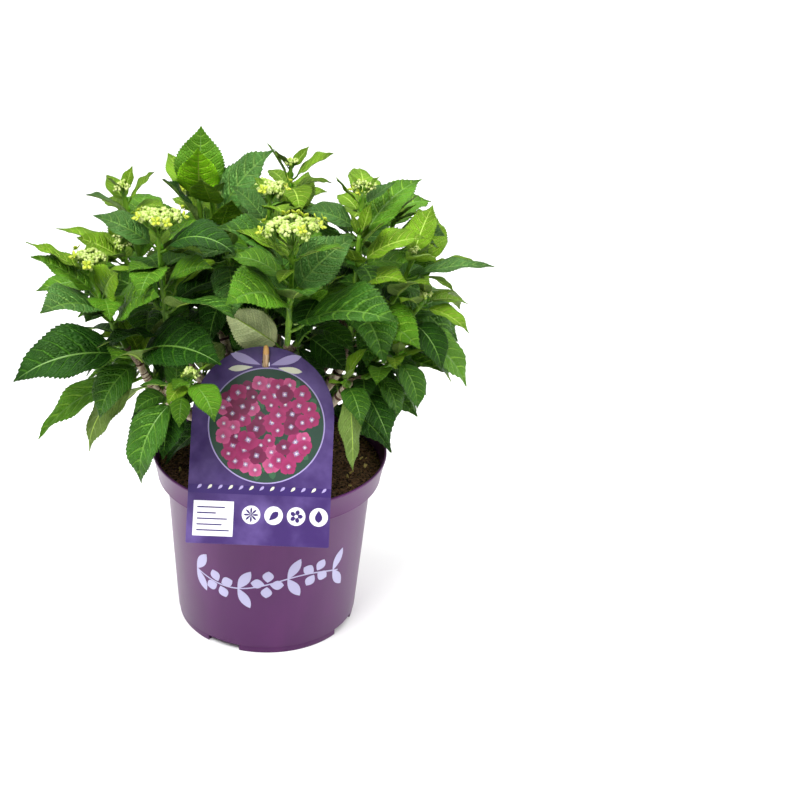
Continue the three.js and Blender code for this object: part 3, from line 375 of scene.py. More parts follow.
# Leaves whose tips stand at measured places: pair, side, place on the stem, tip, droop, width, twist and its tone
MARKED = {
    "front": [
        (0, 0, 0.93, (23, 131, 392), 20, 0.8, 0, FRESH),
        (1, 0, 0.66, (45, 86, 378), 25, 1.15, 35, BLUE),
        (1, 1, 0.82, (-20, 122, 402), 45, 1, -25, MATURE),
        (2, 0, 0.62, (10, 147, 363), 30, 0.8, 0, MATURE),
        (2, 1, 0.6, (-13, 133, 368), 45, 1, -30, FRESH),
        (3, 0, 0.36, (36, 155, 336), 40, 1, 15, MATURE),
        # A pale underside turned to the front, made brighter by painted light shining through it
        (3, 1, 0.1, (-48, 52, 295), 5, 1.1, 118, PALE_PAINTED_BACKLIGHT),
    ],
    "centre": [
        (0, 0, 0.93, (7.4, 45.4, 388.2), 60, 1.2, 0),
        (0, 1, 0.85, (-81.9, 35.5, 395.2), 30, 1, -25, BLUE),
    ],
    "top": [
        (0, 0, 0.93, (-179, 60, 414), 5, 0.7, 0),
        (0, 1, 0.93, (131, 61, 410), 10, 1, 20),
        (1, 0, 0.88, (127, 25, 367), 70, 1.1, 0, YOUNG),
    ],
    "upper_right": [
        (0, 1, 0.93, (90, 52, 410), 5, 0.6, 0),
        (0, 0, 0.93, (102, 98, 394), 10, 1, 0, BLUE),
        (1, 1, 0.8, (90, 22, 374), 40, 1, -25, BLUE),
        (2, 1, 0.6, (60, 50, 390), 15, 0.9, 0, BLUE),
    ],
    "upper_left": [
        (0, 0, 0.93, (-96, 96, 400), 10, 1, 20),
        (0, 1, 0.93, (-106, 142, 386), 15, 1.2, 0),
        (1, 1, 0.85, (-90, 143, 391), 35, 1, 0, BLUE),
    ],
    "left_inner": [
        (0, 1, 0.9, (-69, 140, 394), 25, 1, -25, BLUE),
        (0, 0, 0.88, (-21, 80, 365), 80, 1, 15, DARK),
        (1, 0, 0.62, (-32, 88, 354), 50, 1, 25, FRESH),
    ],
    "left_outer": [
        (0, 0, 0.93, (-71, 184, 379), 10, 0.65, 0),
        (1, 1, 0.72, (-72, 194, 353), 30, 1, -15, FRESH),
        (1, 0, 0.7, (-49, 152, 358), 30, 0.9, 0, YOUNG),
        (2, 1, 0.5, (-56, 199, 348), 50, 1, -15, BLUE),
        (2, 0, 0.46, (-39, 134, 342), 45, 0.9, 0, FRESH),
        (3, 0, 0.12, (-23, 109, 304), 50, 1.1, 30),
        (3, 1, 0.1, (-69, 214, 255), 50, 1.05, -25),
    ],
    "high_left": [
        (0, 1, 0.97, (-140, 97, 418), 12, 1.3, 0, FRESH),
        # Painted backlight: this young leaf has a brighter tone, as if lit through from behind
        (0, 0, 0.97, (-119, 72, 412), 12, 1.2, 0, PAINTED_BACKLIGHT),
        (1, 1, 0.8, (-108, 96, 387), 20, 1, -20, DARK),
    ],
    "left": [
        (0, 1, 0.9, (-90, 152, 354), 25, 1.2, -30),
    ],
    "top_left": [
        (1, 0, 0.8, (-178, 45, 410), 30, 1, 25, BLUE),
        (2, 0, 0.6, (-98, 35, 380), 30, 1, 0, YOUNG),
    ],
    "front_low": [
        (0, 0, 0.93, (-17, 144, 256), 70, 1.15, 0, FRESH),
        (0, 1, 0.93, (-30, 147, 276), 60, 1.2, 0, FRESH),
        (2, 1, 0.55, (-40, 154, 190), 75, 0.8, -10),
        (3, 1, 0.12, (-56, 125, 192), 60, 1, 0),
    ],
    "right": [
        (0, 0, 0.93, (83, 159, 306), 40, 1, 0),
        (0, 1, 0.88, (71, 165, 295), 50, 1, 0),
        (1, 0, 0.72, (66, 148, 266), 60, 1, 20, DARK),
    ],
    "far_right": [
        (1, 0, 0.8, (80, 178, 344), 30, 0.7, 0, BLUE),
        (2, 0, 0.6, (67, 143, 341), 50, 1, 0, YOUNG),
    ],
    "right_back": [
        (0, 0, 0.93, (103, 111, 384), 5, 1, 0),
        (0, 1, 0.93, (95, 118, 382), 5, 1, 0),
        (1, 0, 0.8, (90, 137, 357), 40, 1.15, 25, BLUE),
    ],
    "inner_right": [
        (0, 0, 0.93, (65, 94, 383), 5, 1, 0),
        (0, 1, 0.93, (67, 75, 395), 5, 0.8, 0),
        (1, 0, 0.8, (69, 125, 372), 40, 1, 20, YOUNG),
        (1, 1, 0.8, (49, 76, 371), 30, 1.2, 0, YOUNG),
        (2, 0, 0.6, (60, 119, 340), 60, 1, 15, YOUNG),
        (3, 0, 0.35, (55, 140, 293), 55, 1, 15, FRESH),
    ],
    "low_left": [
        (0, 0, 0.93, (-61, 154, 223), 70, 1.2, 0, MATURE),
        (1, 0, 0.65, (-68, 157, 184), 60, 0.6, 150),
        (1, 1, 0.6, (-75, 194, 190), 45, 0.45, -35, FRESH),
    ],
    "low_right": [
        (0, 0, 0.93, (55, 141, 241), 70, 0.9, 15, MATURE),
        (1, 0, 0.45, (55, 122, 226), 70, 0.9, 15, MATURE),
    ],
    "heart_right": [
        (0, 0, 0.93, (27, 51, 276), 40, 1, 0, DARK),
        (3, 0, 0.4, (68, 66, 245), 20, 1.15, 50, DARK),
        (3, 1, 0.2, (62, 46, 224), 30, 1, 30, DARK),
    ],
    "heart_left": [
        (2, 0, 0.5, (-42, 30, 252), 60, 1.2, 0),
        (0, 0, 0.93, (-27, 68, 308), 50, 1.2, 0, BLUE),
        (0, 1, 0.93, (-76, 84, 304), 50, 1, 0),
        (1, 0, 0.75, (-57, 60, 270), 50, 1.1, 0, DARK),
        (3, 0, 0.1, (-60, 30, 260), 20, 1.2, -40),
    ],
    "low_front": [
        (1, 0, 0.65, (33, 129, 239), 60, 1, 0, MATURE),
        (2, 0, 0.35, (32, 123, 197), 50, 0.6, 150),
    ],
}
# Tones of leaves that follow the rule in all else: shoot, pair and side
RULED_TONES = {("centre", 1, 0): MATURE, ("centre", 1, 1): MATURE}
# Leaves whose blade turns on further round its midrib, in degrees
TURNED_ON = {
    ("high_left", 0, 0): 180, ("top_left", 0, 0): 180, ("top_left", 2, 0): 180, ("left_outer", 1, 0): 110,
    ("left_outer", 2, 0): 52, ("inner_right", 1, 1): 180, ("upper_right", 2, 1): 180, ("upper_right", 0, 1): 180,
    ("heart_right", 1, 1): 180, ("far_right", 0, 0): 180, ("far_back", 1, 1): 180,
}
# Leaves that stay short beside a flower head
SHORTER = {("left_inner", 1, 1): 0.55, ("left_outer", 0, 1): 0.45}
# Leaves that hide a stem or close a gap: place on the stem, tip, droop, width, tone
COVERS = {
    "left_outer": [(0.52, (-57, 168, 314), 45, 1.1, BLUE), (0.7, (-50, 158, 320), 60, 1.05, FRESH)],
    "centre": [(0.17, (95, 42, 246), 40, 1.3, DARK)],
    "heart_right": [(0.3, (52, 20, 262), 40, 1.1, DARK), (0.2, (59, 38, 243), 40, 1, DARK)],
    "low_back_right": [(0.45, (64, 46, 238), 45, 1.3, DARK), (0.6, (73, 69, 243), 40, 1.2, MATURE)],
}


def math_node(tree, operation, *values):
    return add_node(tree, "ShaderNodeMath", dict(enumerate(values)), operation=operation).outputs[0]


def line_node(tree, value, width):
    """One on the whole numbers of the value, falling to nought at this distance from them."""
    away = math_node(tree, "PINGPONG", value, 0.5)
    return math_node(tree, "SUBTRACT", 1.0, spread_node(tree, math_node(tree, "DIVIDE", away, width), 0.2, 1.0))


# Patterns of the leaf skin, with painted shade on its puffs: lengths along are in steps from one side vein to the
# next, across in half widths
VEIN_WAVER = 0.3
VEIN_WIDTH_INSIDE, VEIN_WIDTH_AT_EDGE = 0.16, 0.075
CELLS_ALONG, CELLS_ACROSS = 2.6, 17.0
CELL_ROUND, SEAM_WIDTH, SEAM_STRENGTH = 0.34, 0.12, 0.16
# The skin's tone mixes random mottle with painted shade: darker towards the sunk net of fine veins, lighter on the
# puffs
MOTTLE_SHARE, PUFF_SHADE_SHARE = 0.65, 0.35
LIGHTER, LIGHTER_LIFT, DARKER = 1.4, 0.003, 0.62
CELL_HEIGHT, VEIN_HEIGHT = 0.45, 0.9


def leaf_material(name, colour, vein_colour, roughness, vein_strength, gloss, depth=0.0013):
    """Leaf skin: side veins where the place's second value is whole, and a net of fine veins between them."""
    material, tree, shader = new_material(name, colour, roughness, Specular_IOR_Level=gloss)
    shader.inputs["Specular Tint"].default_value = (0.5, 1, 0.25, 1)
    place = add_node(tree, "ShaderNodeSeparateXYZ", {0: add_node(tree, "ShaderNodeUVMap", uv_map="place").outputs[0]})
    waver = math_node(tree, "MULTIPLY", noise_node(tree, 110, 2), VEIN_WAVER)
    rank = math_node(tree, "ADD", math_node(tree, "MULTIPLY", place.outputs[1], float(VEINS)), waver)
    across = math_node(tree, "ABSOLUTE", math_node(tree, "SUBTRACT", place.outputs[0], 0.5))
    vein_width = spread_node(tree, across, 0.0, 0.5, VEIN_WIDTH_INSIDE, VEIN_WIDTH_AT_EDGE)
    side_vein = line_node(tree, rank, vein_width)
    spot = add_node(tree, "ShaderNodeCombineXYZ", {
        0: math_node(tree, "MULTIPLY", rank, CELLS_ALONG), 1: math_node(tree, "MULTIPLY", across, CELLS_ACROSS),
    })
    net = add_node(tree, "ShaderNodeTexVoronoi", {"Vector": spot.outputs[0], "Scale": 1.0, "Randomness": 0.8},
                   feature="DISTANCE_TO_EDGE", voronoi_dimensions="2D").outputs["Distance"]
    cell = spread_node(tree, net, 0.0, CELL_ROUND)
    mottle = math_node(tree, "MULTIPLY", spread_node(tree, noise_node(tree, 45, 4), 0.35, 0.68), MOTTLE_SHARE)
    # Painted shade and highlight: the cells make the skin darker in the creases along the net and lighter on the raised
    # puffs
    tone = math_node(tree, "ADD", mottle, math_node(tree, "MULTIPLY", cell, PUFF_SHADE_SHARE))
    lighter = tuple(min(1, LIGHTER * value + LIGHTER_LIFT) for value in colour)
    skin = blend_node(tree, tone, tuple(DARKER * value for value in colour), lighter)
    seam = math_node(tree, "SUBTRACT", 1.0, spread_node(tree, net, 0.0, SEAM_WIDTH))
    netted = blend_node(tree, math_node(tree, "MULTIPLY", seam, SEAM_STRENGTH), skin, vein_colour)
    paint(tree, shader, blend_node(tree, math_node(tree, "MULTIPLY", side_vein, vein_strength), netted, vein_colour))
    raised = math_node(tree, "MULTIPLY", cell, CELL_HEIGHT)
    sunk = math_node(tree, "MULTIPLY", side_vein, VEIN_HEIGHT)
    relief(tree, shader, math_node(tree, "SUBTRACT", raised, sunk), depth)
    return material


# In the order of the tones' numbers
leaf_materials = [
    leaf_material("leaf_young", (0.144, 0.292, 0.008), (0.34, 0.50, 0.06), 0.44, 0.85, 0.45),
    leaf_material("leaf_fresh", (0.073, 0.207, 0.007), (0.21, 0.42, 0.035), 0.42, 0.85, 0.5),
    leaf_material("leaf_mature", (0.024, 0.094, 0.005), (0.12, 0.28, 0.025), 0.40, 0.8, 0.6),
    leaf_material("leaf_dark", (0.006, 0.039, 0.002), (0.05, 0.16, 0.012), 0.44, 0.75, 0.4),
    leaf_material("leaf_blue", (0.047, 0.136, 0.024), (0.17, 0.31, 0.065), 0.36, 0.7, 0.8),
    leaf_material("leaf_under", (0.15, 0.235, 0.05), (0.25, 0.34, 0.10), 0.6, 0.5, 0.25, 0.0006),
    new_material("leaf_midrib", (0.12, 0.26, 0.03), 0.45)[0],
    new_material("leaf_midrib_pale", (0.34, 0.50, 0.06), 0.5)[0],
    # A young green made brighter: painted backlight
    leaf_material("leaf_painted_backlight", (0.25, 0.60, 0.012), (0.48, 0.75, 0.06), 0.5, 0.6, 0.25),
    # A pale underside green made brighter: painted light shining through the leaf
    leaf_material("leaf_pale_painted_backlight", (0.68, 0.80, 0.38), (0.80, 0.90, 0.50), 0.6, 0.5, 0.25, 0.0003),
]


class Leaf:
    """A leaf's stalk foot, directions in degrees, length in metres and width as a share of the usual width."""

    def __init__(self, foot, bearing, rise, droop, length, twist, wide):
        self.foot = foot
        self.bearing = bearing
        self.rise = rise
        self.droop = droop
        self.length = length
        self.twist = twist
        self.wide = wide
        self.outward = polar(bearing, 1, 0)

    def turned(self, rise, bearing, size):
        bearing += self.bearing
        return Leaf(self.foot, bearing, self.rise + rise, self.droop, self.length * size, self.twist, self.wide)

    def spine(self, share):
        rise = math.radians(self.rise)
        bend = math.radians(max(self.droop, 1))
        level = STALK * math.cos(rise) + (math.sin(rise) - math.sin(rise - bend * share)) / bend
        climb = STALK * math.sin(rise) + (math.cos(rise - bend * share) - math.cos(rise)) / bend
        return self.foot + self.outward * self.length * level + Vector((0, 0, self.length * climb))

    def frame(self, share):
        """The directions along the blade, to its left and out of its upper side."""
        pitch = math.radians(self.rise - max(self.droop, 1) * share)
        along = self.outward * math.cos(pitch) + Vector((0, 0, math.sin(pitch)))
        level = Vector((0, 0, 1)).cross(self.outward)
        normal = along.cross(level)
        twist = math.radians(self.twist)
        left = level * math.cos(twist) + normal * math.sin(twist)
        return along, left, along.cross(left)

    def half_width(self, share):
        return self.length * LEAF_WIDTH * self.wide / 2 * blade_width(share)


def blade_width(share):
    full = math.sin(math.pi * share ** BLADE_PEAK) ** BLADE_FULLNESS * (1 - BLADE_TAPER * share)
    past = max(0, (share - POINT_START) / (1 - POINT_START))
    return full * (1 - POINT_NARROWING * past ** POINT_CURVE)


def leaf_to(limb, at, tip, droop, wide, twist):
    """The leaf that reaches its tip's place when it bends down by its droop."""
    foot = limb.point(at)
    chord = polar(*tip) * MM - foot
    bend = math.radians(max(droop, 1))
    level = STALK + math.sin(bend) / bend
    climb = (math.cos(bend) - 1) / bend
    bearing = math.degrees(math.atan2(chord.x, -chord.y))
    rise = math.degrees(math.asin(chord.z / chord.length) - math.atan2(climb, level))
    return Leaf(foot, bearing, rise, droop, chord.length / math.hypot(level, climb), twist, wide)


def leaf_draws(seed, shoot, pair, side):
    """Gives the next number from -1 to 1 of a leaf's own seed at each call, as in the solids."""
    state = (seed + SHOOT_SEED_STEP * shoot + PAIR_SEED_STEP * pair + SIDE_SEED_STEP * side) % DRAW_MODULUS

    def draw():
        nonlocal state
        state = state * DRAW_FACTOR % DRAW_MODULUS
        return 2 * state / DRAW_MODULUS - 1

    return draw


def leaf_of(limb, turn, at, size, spread, droop, draw):
    """A leaf of a ruled pair, with the scatter that its draws give."""
    draw()
    along = limb.slope(at)
    radial = polar(turn + SCATTER["bearing"] * draw(), 1, 0)
    radial = (radial - along * radial.dot(along)).normalized()
    start = along * math.cos(math.radians(spread)) + radial * math.sin(math.radians(spread))
    bearing = math.degrees(math.atan2(start.x, -start.y))
    rise = math.degrees(math.asin(start.z)) + SCATTER["rise"] * draw()
    droop += SCATTER["droop"] * draw()
    length = LEAF_LENGTH * size * (1 + SCATTER["size"] * draw())
    return Leaf(limb.point(at), bearing, rise, droop, length, SCATTER["twist"] * draw(), 1)


def solid_skin(names):
    """The faces of these shoots' solids, to measure how near a point is to them."""
    points = []
    faces = []
    for name in names:
        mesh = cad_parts["shoot_" + name].data
        faces += [tuple(len(points) + corner for corner in face.vertices) for face in mesh.polygons]
        points += [vertex.co for vertex in mesh.vertices]
    return BVHTree.FromPolygons(points, faces)


SPOTS_ON_SOLID, SOLID_NEARNESS, SOLID_NEARNESS_SHARE = (0.44, 0.76, 1), 0.0003, 0.008


def as_grown(leaf, skin):
    """The turn and size in which the solid shoot holds this leaf, or None where it had no room."""
    for size in SIZES:
        for rise, bearing in TURNS:
            tried = leaf.turned(rise, bearing, size)
            reach = SOLID_NEARNESS + tried.length * SOLID_NEARNESS_SHARE
            if all(skin.find_nearest(tried.spine(share), reach)[0] for share in SPOTS_ON_SOLID):
                return tried
    return None


# Each shoot's leaves: those that its solid holds, with their tones. The measured ones together are a screen, and no
# small leaf grows in front of it.
grown = {}
screen_points = []
screen_faces = []
SCREEN_STEPS = 8
for index, (name, (below, tip, turn, head, size, pairs)) in enumerate(SHOOTS.items()):
    limb = shoots[name]
    skin = solid_skin([name])
    marked = {(pair, side): row for pair, side, *row in MARKED.get(name, [])}
    leaves = []
    for (pair, side), (at, leaf_tip, droop, wide, twist, *tone) in marked.items():
        leaves.append((pair, side, leaf_to(limb, at, leaf_tip, droop, wide, twist), *(tone or [PAIR_TONES[pair]])))
    for pair, side in itertools.product(range(pairs), (0, 1)):
        if (pair, side) not in marked:
            at, share, spread, droop = PAIRS[pair]
            heading = turn + PAIR_TURN * pair + SIDE_TURN * side
            leaf = leaf_of(limb, heading, at, share * size, spread, droop, leaf_draws(LEAF_SEED, index, pair, side))
            leaves.append((pair, side, leaf, RULED_TONES.get((name, pair, side), PAIR_TONES[pair])))
    leaves = [(pair, side, as_grown(leaf, skin), tone) for pair, side, leaf, tone in leaves]
    grown[name] = [row for row in leaves if row[2]]
    for pair, side, leaf, tone in grown[name]:
        if (pair, side) in marked:
            first = len(screen_points)
            for step in range(1, SCREEN_STEPS):
                share = step / SCREEN_STEPS
                reach = leaf.frame(share)[1] * leaf.half_width(share)
                screen_points += [leaf.spine(share) - reach, leaf.spine(share) + reach]
            rows = range(first, len(screen_points) - 2, 2)
            screen_faces += [(row, row + 1, row + 3, row + 2) for row in rows]
screen = BVHTree.FromPolygons(screen_points, screen_faces)
crown = solid_skin(SHOOTS)

# Small leaves on the same stems, where the solid crown leaves room, from the tip down: place on the stem, the sizes
# to try, spread and droop. The top pair grows in any case, and each is tried in a few headings.
SMALL_LEAVES = [
    (0.985, (0.26,), 34, 8), (0.88, (0.4, 0.3), 60, 45), (0.76, (0.62, 0.5, 0.4), 62, 50),
    (0.6, (0.8, 0.62, 0.45, 0.34), 64, 50), (0.47, (0.8, 0.62, 0.45, 0.34), 66, 52), (0.34, (0.8, 0.62, 0.45), 66, 52),
    (0.22, (0.8, 0.6, 0.45), 68, 55), (0.12, (0.7, 0.5), 60, 40),
]
# The front shoot's stem stays bare below its fourth small pair.
BARE_BELOW = {"front": 4}
SMALL_LEAF_SEED = 9011
SMALL_LEAF_TURN, SWINGS = 45, [0, 30, -30, 60, -60]
TINY, TINY_STATIONS, SMALL_STATIONS = 0.5, 16, 28
# Spots of a small leaf at which its room is tested: share of its length, share of its half width there
ROOM_SPOTS = [(0.2, 0), (0.45, 0), (0.75, 0), (1, 0), (0.35, 0.8), (0.35, -0.8), (0.65, 0.8), (0.65, -0.8)]
CLEAR_OF_SOLIDS, CLEAR_OF_SMALL_LEAVES, BEHIND_THE_SCREEN = 0.0028, 0.010, 0.09
CROWN_FLOOR, CROWN_REACH = 0.17, 0.165
# The room before and above the label stays free: its half width, its back, and the height and slope of its ceiling.
LABEL_ROOM_HALF, LABEL_ROOM_BACK, LABEL_ROOM_TOP, LABEL_ROOM_SLOPE = 0.06, -0.012, 0.27, 0.51
INTO_THE_CROWN = Vector((0.08, 0.89, -0.45)).normalized()
small_leaf_spots = []


def has_room(leaf):
    """Whether a small leaf is clear of the crown, the label, the front of measured leaves and other small leaves."""
    spots = []
    for share, edge in ROOM_SPOTS:
        reach = edge * leaf.half_width(share) if edge else 0
        spots.append(leaf.spine(share) + leaf.frame(share)[1] * reach)
    for spot in spots:
        if crown.find_nearest(spot, CLEAR_OF_SOLIDS)[0]:
            return False
        under_ceiling = spot.z + LABEL_ROOM_SLOPE * spot.y < LABEL_ROOM_TOP
        if abs(spot.x) < LABEL_ROOM_HALF and spot.y < LABEL_ROOM_BACK and under_ceiling:
            return False
        if screen.ray_cast(spot, INTO_THE_CROWN, BEHIND_THE_SCREEN)[0]:
            return False
        if spot.z < CROWN_FLOOR or math.hypot(spot.x, spot.y) > CROWN_REACH:
            return False
        if any((spot - other).length < CLEAR_OF_SMALL_LEAVES for other in small_leaf_spots):
            return False
    small_leaf_spots.extend(spots)
    return True


def grow_leaf(builder, leaf, tone, dice, stations=STATIONS):
    """A blade of two skins joined along its toothed edge, puffed up between sunk veins, with a midrib."""
    length = leaf.length
    phase = dice.uniform(0, FULL_TURN)
    wave = dice.uniform(*WAVE_HEIGHTS) * length
    curl = dice.uniform(*CURLS)
    thick = min(LEAF_THICK, length * LEAF_THICK_SHARE)
    upper = []
    lower = []
    places = []
    for station in range(1, stations):
        share = station / stations
        tooth = station % 2
        half = leaf.half_width(share)
        along, left, normal = leaf.frame(share)
        centre = leaf.spine(share)
        calm = min(1, CALM_FOOT * share) * min(1, CALM_TIP * (1 - share))
        row = []
        under = []
        marks = []
        for x in ACROSS:
            edge = abs(x)
            vein = VEINS * (share - VEIN_RISE * edge * (1 + edge) * blade_width(share))
            puff = abs(math.sin(math.pi * vein)) ** PUFF_ROUND - VEIN_LEVEL if PUFFED_FROM < edge < PUFFED_TO else 0
            lift = half * math.sin(FOLD) * edge * (BLADE_CUP - curl - (BLADE_CUP - 1 + curl) * edge * edge)
            lift += length * PUFF * puff * calm * (1 - (1 - PUFF_AT_EDGE) * edge)
            lift += wave * edge ** 3 * math.sin(phase + WAVES * share + (OTHER_SIDE if x > 0 else 0)) * calm
            reach = half * math.cos(FOLD) * x
            forward = 0
            if edge == 1:
                reach *= TOOTH_REACH if tooth else NOTCH_REACH
                forward = length * (TOOTH_FORWARD if tooth else NOTCH_BACK)
            point = centre + left * reach + along * forward + normal * lift
            if edge == 0:
                row.append(point - normal * length * GROOVE)
                under.append(point - normal * (thick + length * MIDRIB_DEPTH * (1 - MIDRIB_TAPER * share)))
            else:
                row.append(point)
                if edge < 1:
                    under.append(point - normal * thick * (1 if edge < THIN_FROM else THIN_EDGE))
            marks.append(((x + 1) / 2, vein / VEINS))
        upper.append(row)
        lower.append(under)
        places.append(marks)
    count = len(ACROSS)
    rows = len(upper)
    points = [leaf.spine(0)] + [point for row in upper + lower for point in row] + [leaf.spine(1)]
    marks = [(0.5, 0)] + [mark for row in places for mark in row]
    marks += [mark for row in places for mark in row[1:-1]] + [(0.5, 1)]
    last = len(points) - 1

    def top(row, column):
        return 1 + row * count + column

    def bottom(row, column):
        if column in (0, count - 1):
            return top(row, column)
        return 1 + rows * count + row * (count - 2) + column - 1

    faces = []
    slots = []
    end = rows - 1
    for column in range(count - 1):
        near = column + 1
        # The pale tone, brightened by painted light shining through, colours both skins
        above, below = tone, PALE_PAINTED_BACKLIGHT if tone == PALE_PAINTED_BACKLIGHT else UNDER
        if max(abs(ACROSS[column]), abs(ACROSS[near])) < BESIDE_MIDRIB:
            above, below = MIDRIB_PALE if tone in (YOUNG, PAINTED_BACKLIGHT, PALE_PAINTED_BACKLIGHT) else MIDRIB, MIDRIB_PALE
        faces += [(0, top(0, column), top(0, near)), (0, bottom(0, near), bottom(0, column))]
        for row in range(end):
            faces.append((top(row, column), top(row + 1, column), top(row + 1, near), top(row, near)))
            faces.append((bottom(row, column), bottom(row, near), bottom(row + 1, near), bottom(row + 1, column)))
        faces += [(last, top(end, near), top(end, column)), (last, bottom(end, column), bottom(end, near))]
        slots += [above, below] * (rows + 1)
    builder.add(points, faces, slots, marks)


BLADE_SEED = 100
# All leaves of each shoot are noted in the order in which they grow, because each of them gets a stalk.
borne = {}
for index, (name, (below, tip, turn, head, size, pairs)) in enumerate(SHOOTS.items()):
    dice = random.Random(BLADE_SEED + index)
    blades = Builder(leaf_materials)
    limb = shoots[name]
    borne[name] = []
    for pair, side, leaf, tone in grown[name]:
        leaf.twist += TURNED_ON.get((name, pair, side), 0)
        leaf.length *= SHORTER.get((name, pair, side), 1)
        grow_leaf(blades, leaf, tone, dice)
        borne[name].append(leaf)
    for at, leaf_tip, droop, wide, tone in COVERS.get(name, []):
        leaf = leaf_to(limb, at, leaf_tip, droop, wide, 0)
        grow_leaf(blades, leaf, tone, dice)
        borne[name].append(leaf)
    small_pairs = SMALL_LEAVES[:BARE_BELOW.get(name, len(SMALL_LEAVES))]
    for (rank, (at, shares, spread, droop)), side in itertools.product(enumerate(small_pairs), (0, 1)):
        heading = turn + SMALL_LEAF_TURN + PAIR_TURN * rank + SIDE_TURN * side
        for number, (share, swing) in enumerate(itertools.product(shares, SWINGS)):
            draw = leaf_draws(SMALL_LEAF_SEED + number, index, rank, side)
            leaf = leaf_of(limb, heading + swing, at, share * size, spread, droop, draw)
            if rank == 0 or has_room(leaf):
                tone = YOUNG if rank < 2 else dice.choice([MATURE, DARK] if rank > 3 else [FRESH, MATURE])
                grow_leaf(blades, leaf, tone, dice, TINY_STATIONS if share < TINY else SMALL_STATIONS)
                borne[name].append(leaf)
                break
    finish_piece(blades.make("leaves_" + name), "foliage", "shoot_" + name)

# Stems: one soft green stem on each bough's tip, woody and purple-brown where it starts on last year's wood and
# swollen where a pair of leaves stands. The leaves' stalks clasp it, each with a small bud in its axil.

STEM_FOOT_RADIUS, STEM_STEPS, STEM_SIDES, WOODY_STEPS = 0.0028, 34, 10, 7
JOINT_SWELL, JOINT_LENGTH = 0.0009, 0.018
STALK_RADIUS, STALK_STEPS, STALK_SIDES, STALK_SAG = 0.00115, 7, 7, 0.02
STALK_CLASP, STALK_TAPER, TAPER_SHARE, STALK_END, STALK_END_AT, STALK_UNDER_BLADE = 1.7, 1.5, 0.45, 0.5, 0.03, 0.6
AXIL_BUD_RADIUS, AXIL_BUD_STRETCH, AXIL_BUD_OUT, AXIL_BUD_UP = 0.0011, 2.2, 0.003, 0.0035
GREEN, WOODY, AXIL_BUD = range(3)

stem_green, tree, shader = new_material("stem_green", (0.13, 0.28, 0.02), 0.45, Specular_IOR_Level=0.3)
streak = noise_node(tree, 380, 4, (1, 1, 0.12))
paint(tree, shader, blend_node(tree, spread_node(tree, streak, 0.35, 0.65), (0.062, 0.155, 0.008), (0.15, 0.30, 0.02)))
relief(tree, shader, streak, 0.0002, 0.5)
stem_wood, tree, shader = new_material("stem_wood", (0.12, 0.07, 0.055), 0.7)
flecks = spread_node(tree, noise_node(tree, 700, 4), 0.4, 0.6)
paint(tree, shader, blend_node(tree, flecks, (0.10, 0.05, 0.045), (0.26, 0.20, 0.12)))
stem_materials = [stem_green, stem_wood, leaf_materials[FRESH]]


def add_ball(builder, centre, radius, axis, slot, stretch=1.0):
    """A closed round bud, long along its axis by its stretch."""
    sides, rings = 6, 3
    turn = axis.to_track_quat("Z", "Y")
    points = [centre - axis * radius * stretch]
    for ring in range(1, rings + 1):
        angle = math.pi * ring / (rings + 1)
        for side in range(sides):
            spin = 2 * math.pi * (side + 0.5 * (ring % 2)) / sides
            flat = Vector((math.sin(angle) * math.cos(spin), math.sin(angle) * math.sin(spin), 0)) * radius
            points.append(centre + turn @ (flat - Vector((0, 0, math.cos(angle) * radius * stretch))))
    points.append(centre + axis * radius * stretch)
    faces = [(0, 1 + (side + 1) % sides, 1 + side) for side in range(sides)]
    faces += ring_faces(rings - 1, sides, 1)
    last = 1 + (rings - 1) * sides
    faces += [(last + side, last + (side + 1) % sides, last + sides) for side in range(sides)]
    builder.add(points, faces, slot)


def grow_stem(builder, limb):
    shares = [step / STEM_STEPS for step in range(STEM_STEPS + 1)]
    radii = []
    for share in shares:
        swell = sum(math.exp(-((share - at) / JOINT_LENGTH) ** 2) for at, *rest in PAIRS)
        taper = (limb.radius - STEM_FOOT_RADIUS) * share
        radii.append(STEM_FOOT_RADIUS + taper + JOINT_SWELL * min(1, swell))
    slots = [WOODY] * WOODY_STEPS + [GREEN] * (STEM_STEPS - WOODY_STEPS)
    builder.tube([limb.point(share) for share in shares], radii, STEM_SIDES, slots)


def grow_stalk(builder, leaf, limb):
    """The stalk widens where it clasps the stem and runs on into the midrib."""
    radius = STALK_RADIUS * math.sqrt(leaf.length / LEAF_LENGTH)
    along, left, normal = leaf.frame(0)
    end = leaf.spine(STALK_END_AT) - normal * radius * STALK_UNDER_BLADE
    sag = Vector((0, 0, -STALK_SAG * leaf.length))
    shares = [step / STALK_STEPS for step in range(STALK_STEPS + 1)]
    points = [leaf.foot.lerp(end, share) + sag * math.sin(math.pi * share) for share in shares]
    radii = [radius * (STALK_CLASP - STALK_TAPER * min(TAPER_SHARE, share)) for share in shares[:-1]]
    radii.append(radius * STALK_END)
    builder.tube(points, radii, STALK_SIDES, GREEN)
    upward = limb.slope(0.5)
    axil = leaf.foot + along * AXIL_BUD_OUT + upward * AXIL_BUD_UP
    add_ball(builder, axil, AXIL_BUD_RADIUS, upward, AXIL_BUD, AXIL_BUD_STRETCH)


for name in SHOOTS:
    stems = Builder(stem_materials)
    grow_stem(stems, shoots[name])
    for leaf in borne[name]:
        grow_stalk(stems, leaf, shoots[name])
    finish_piece(stems.make("stems_" + name), "foliage")

# Flower heads: flat clusters of green buds not yet open. Rays spread from the stem's tip, each carries a small dome
# of round buds on threads, and the large heads have a few pale four-lobed florets opening at their edge.

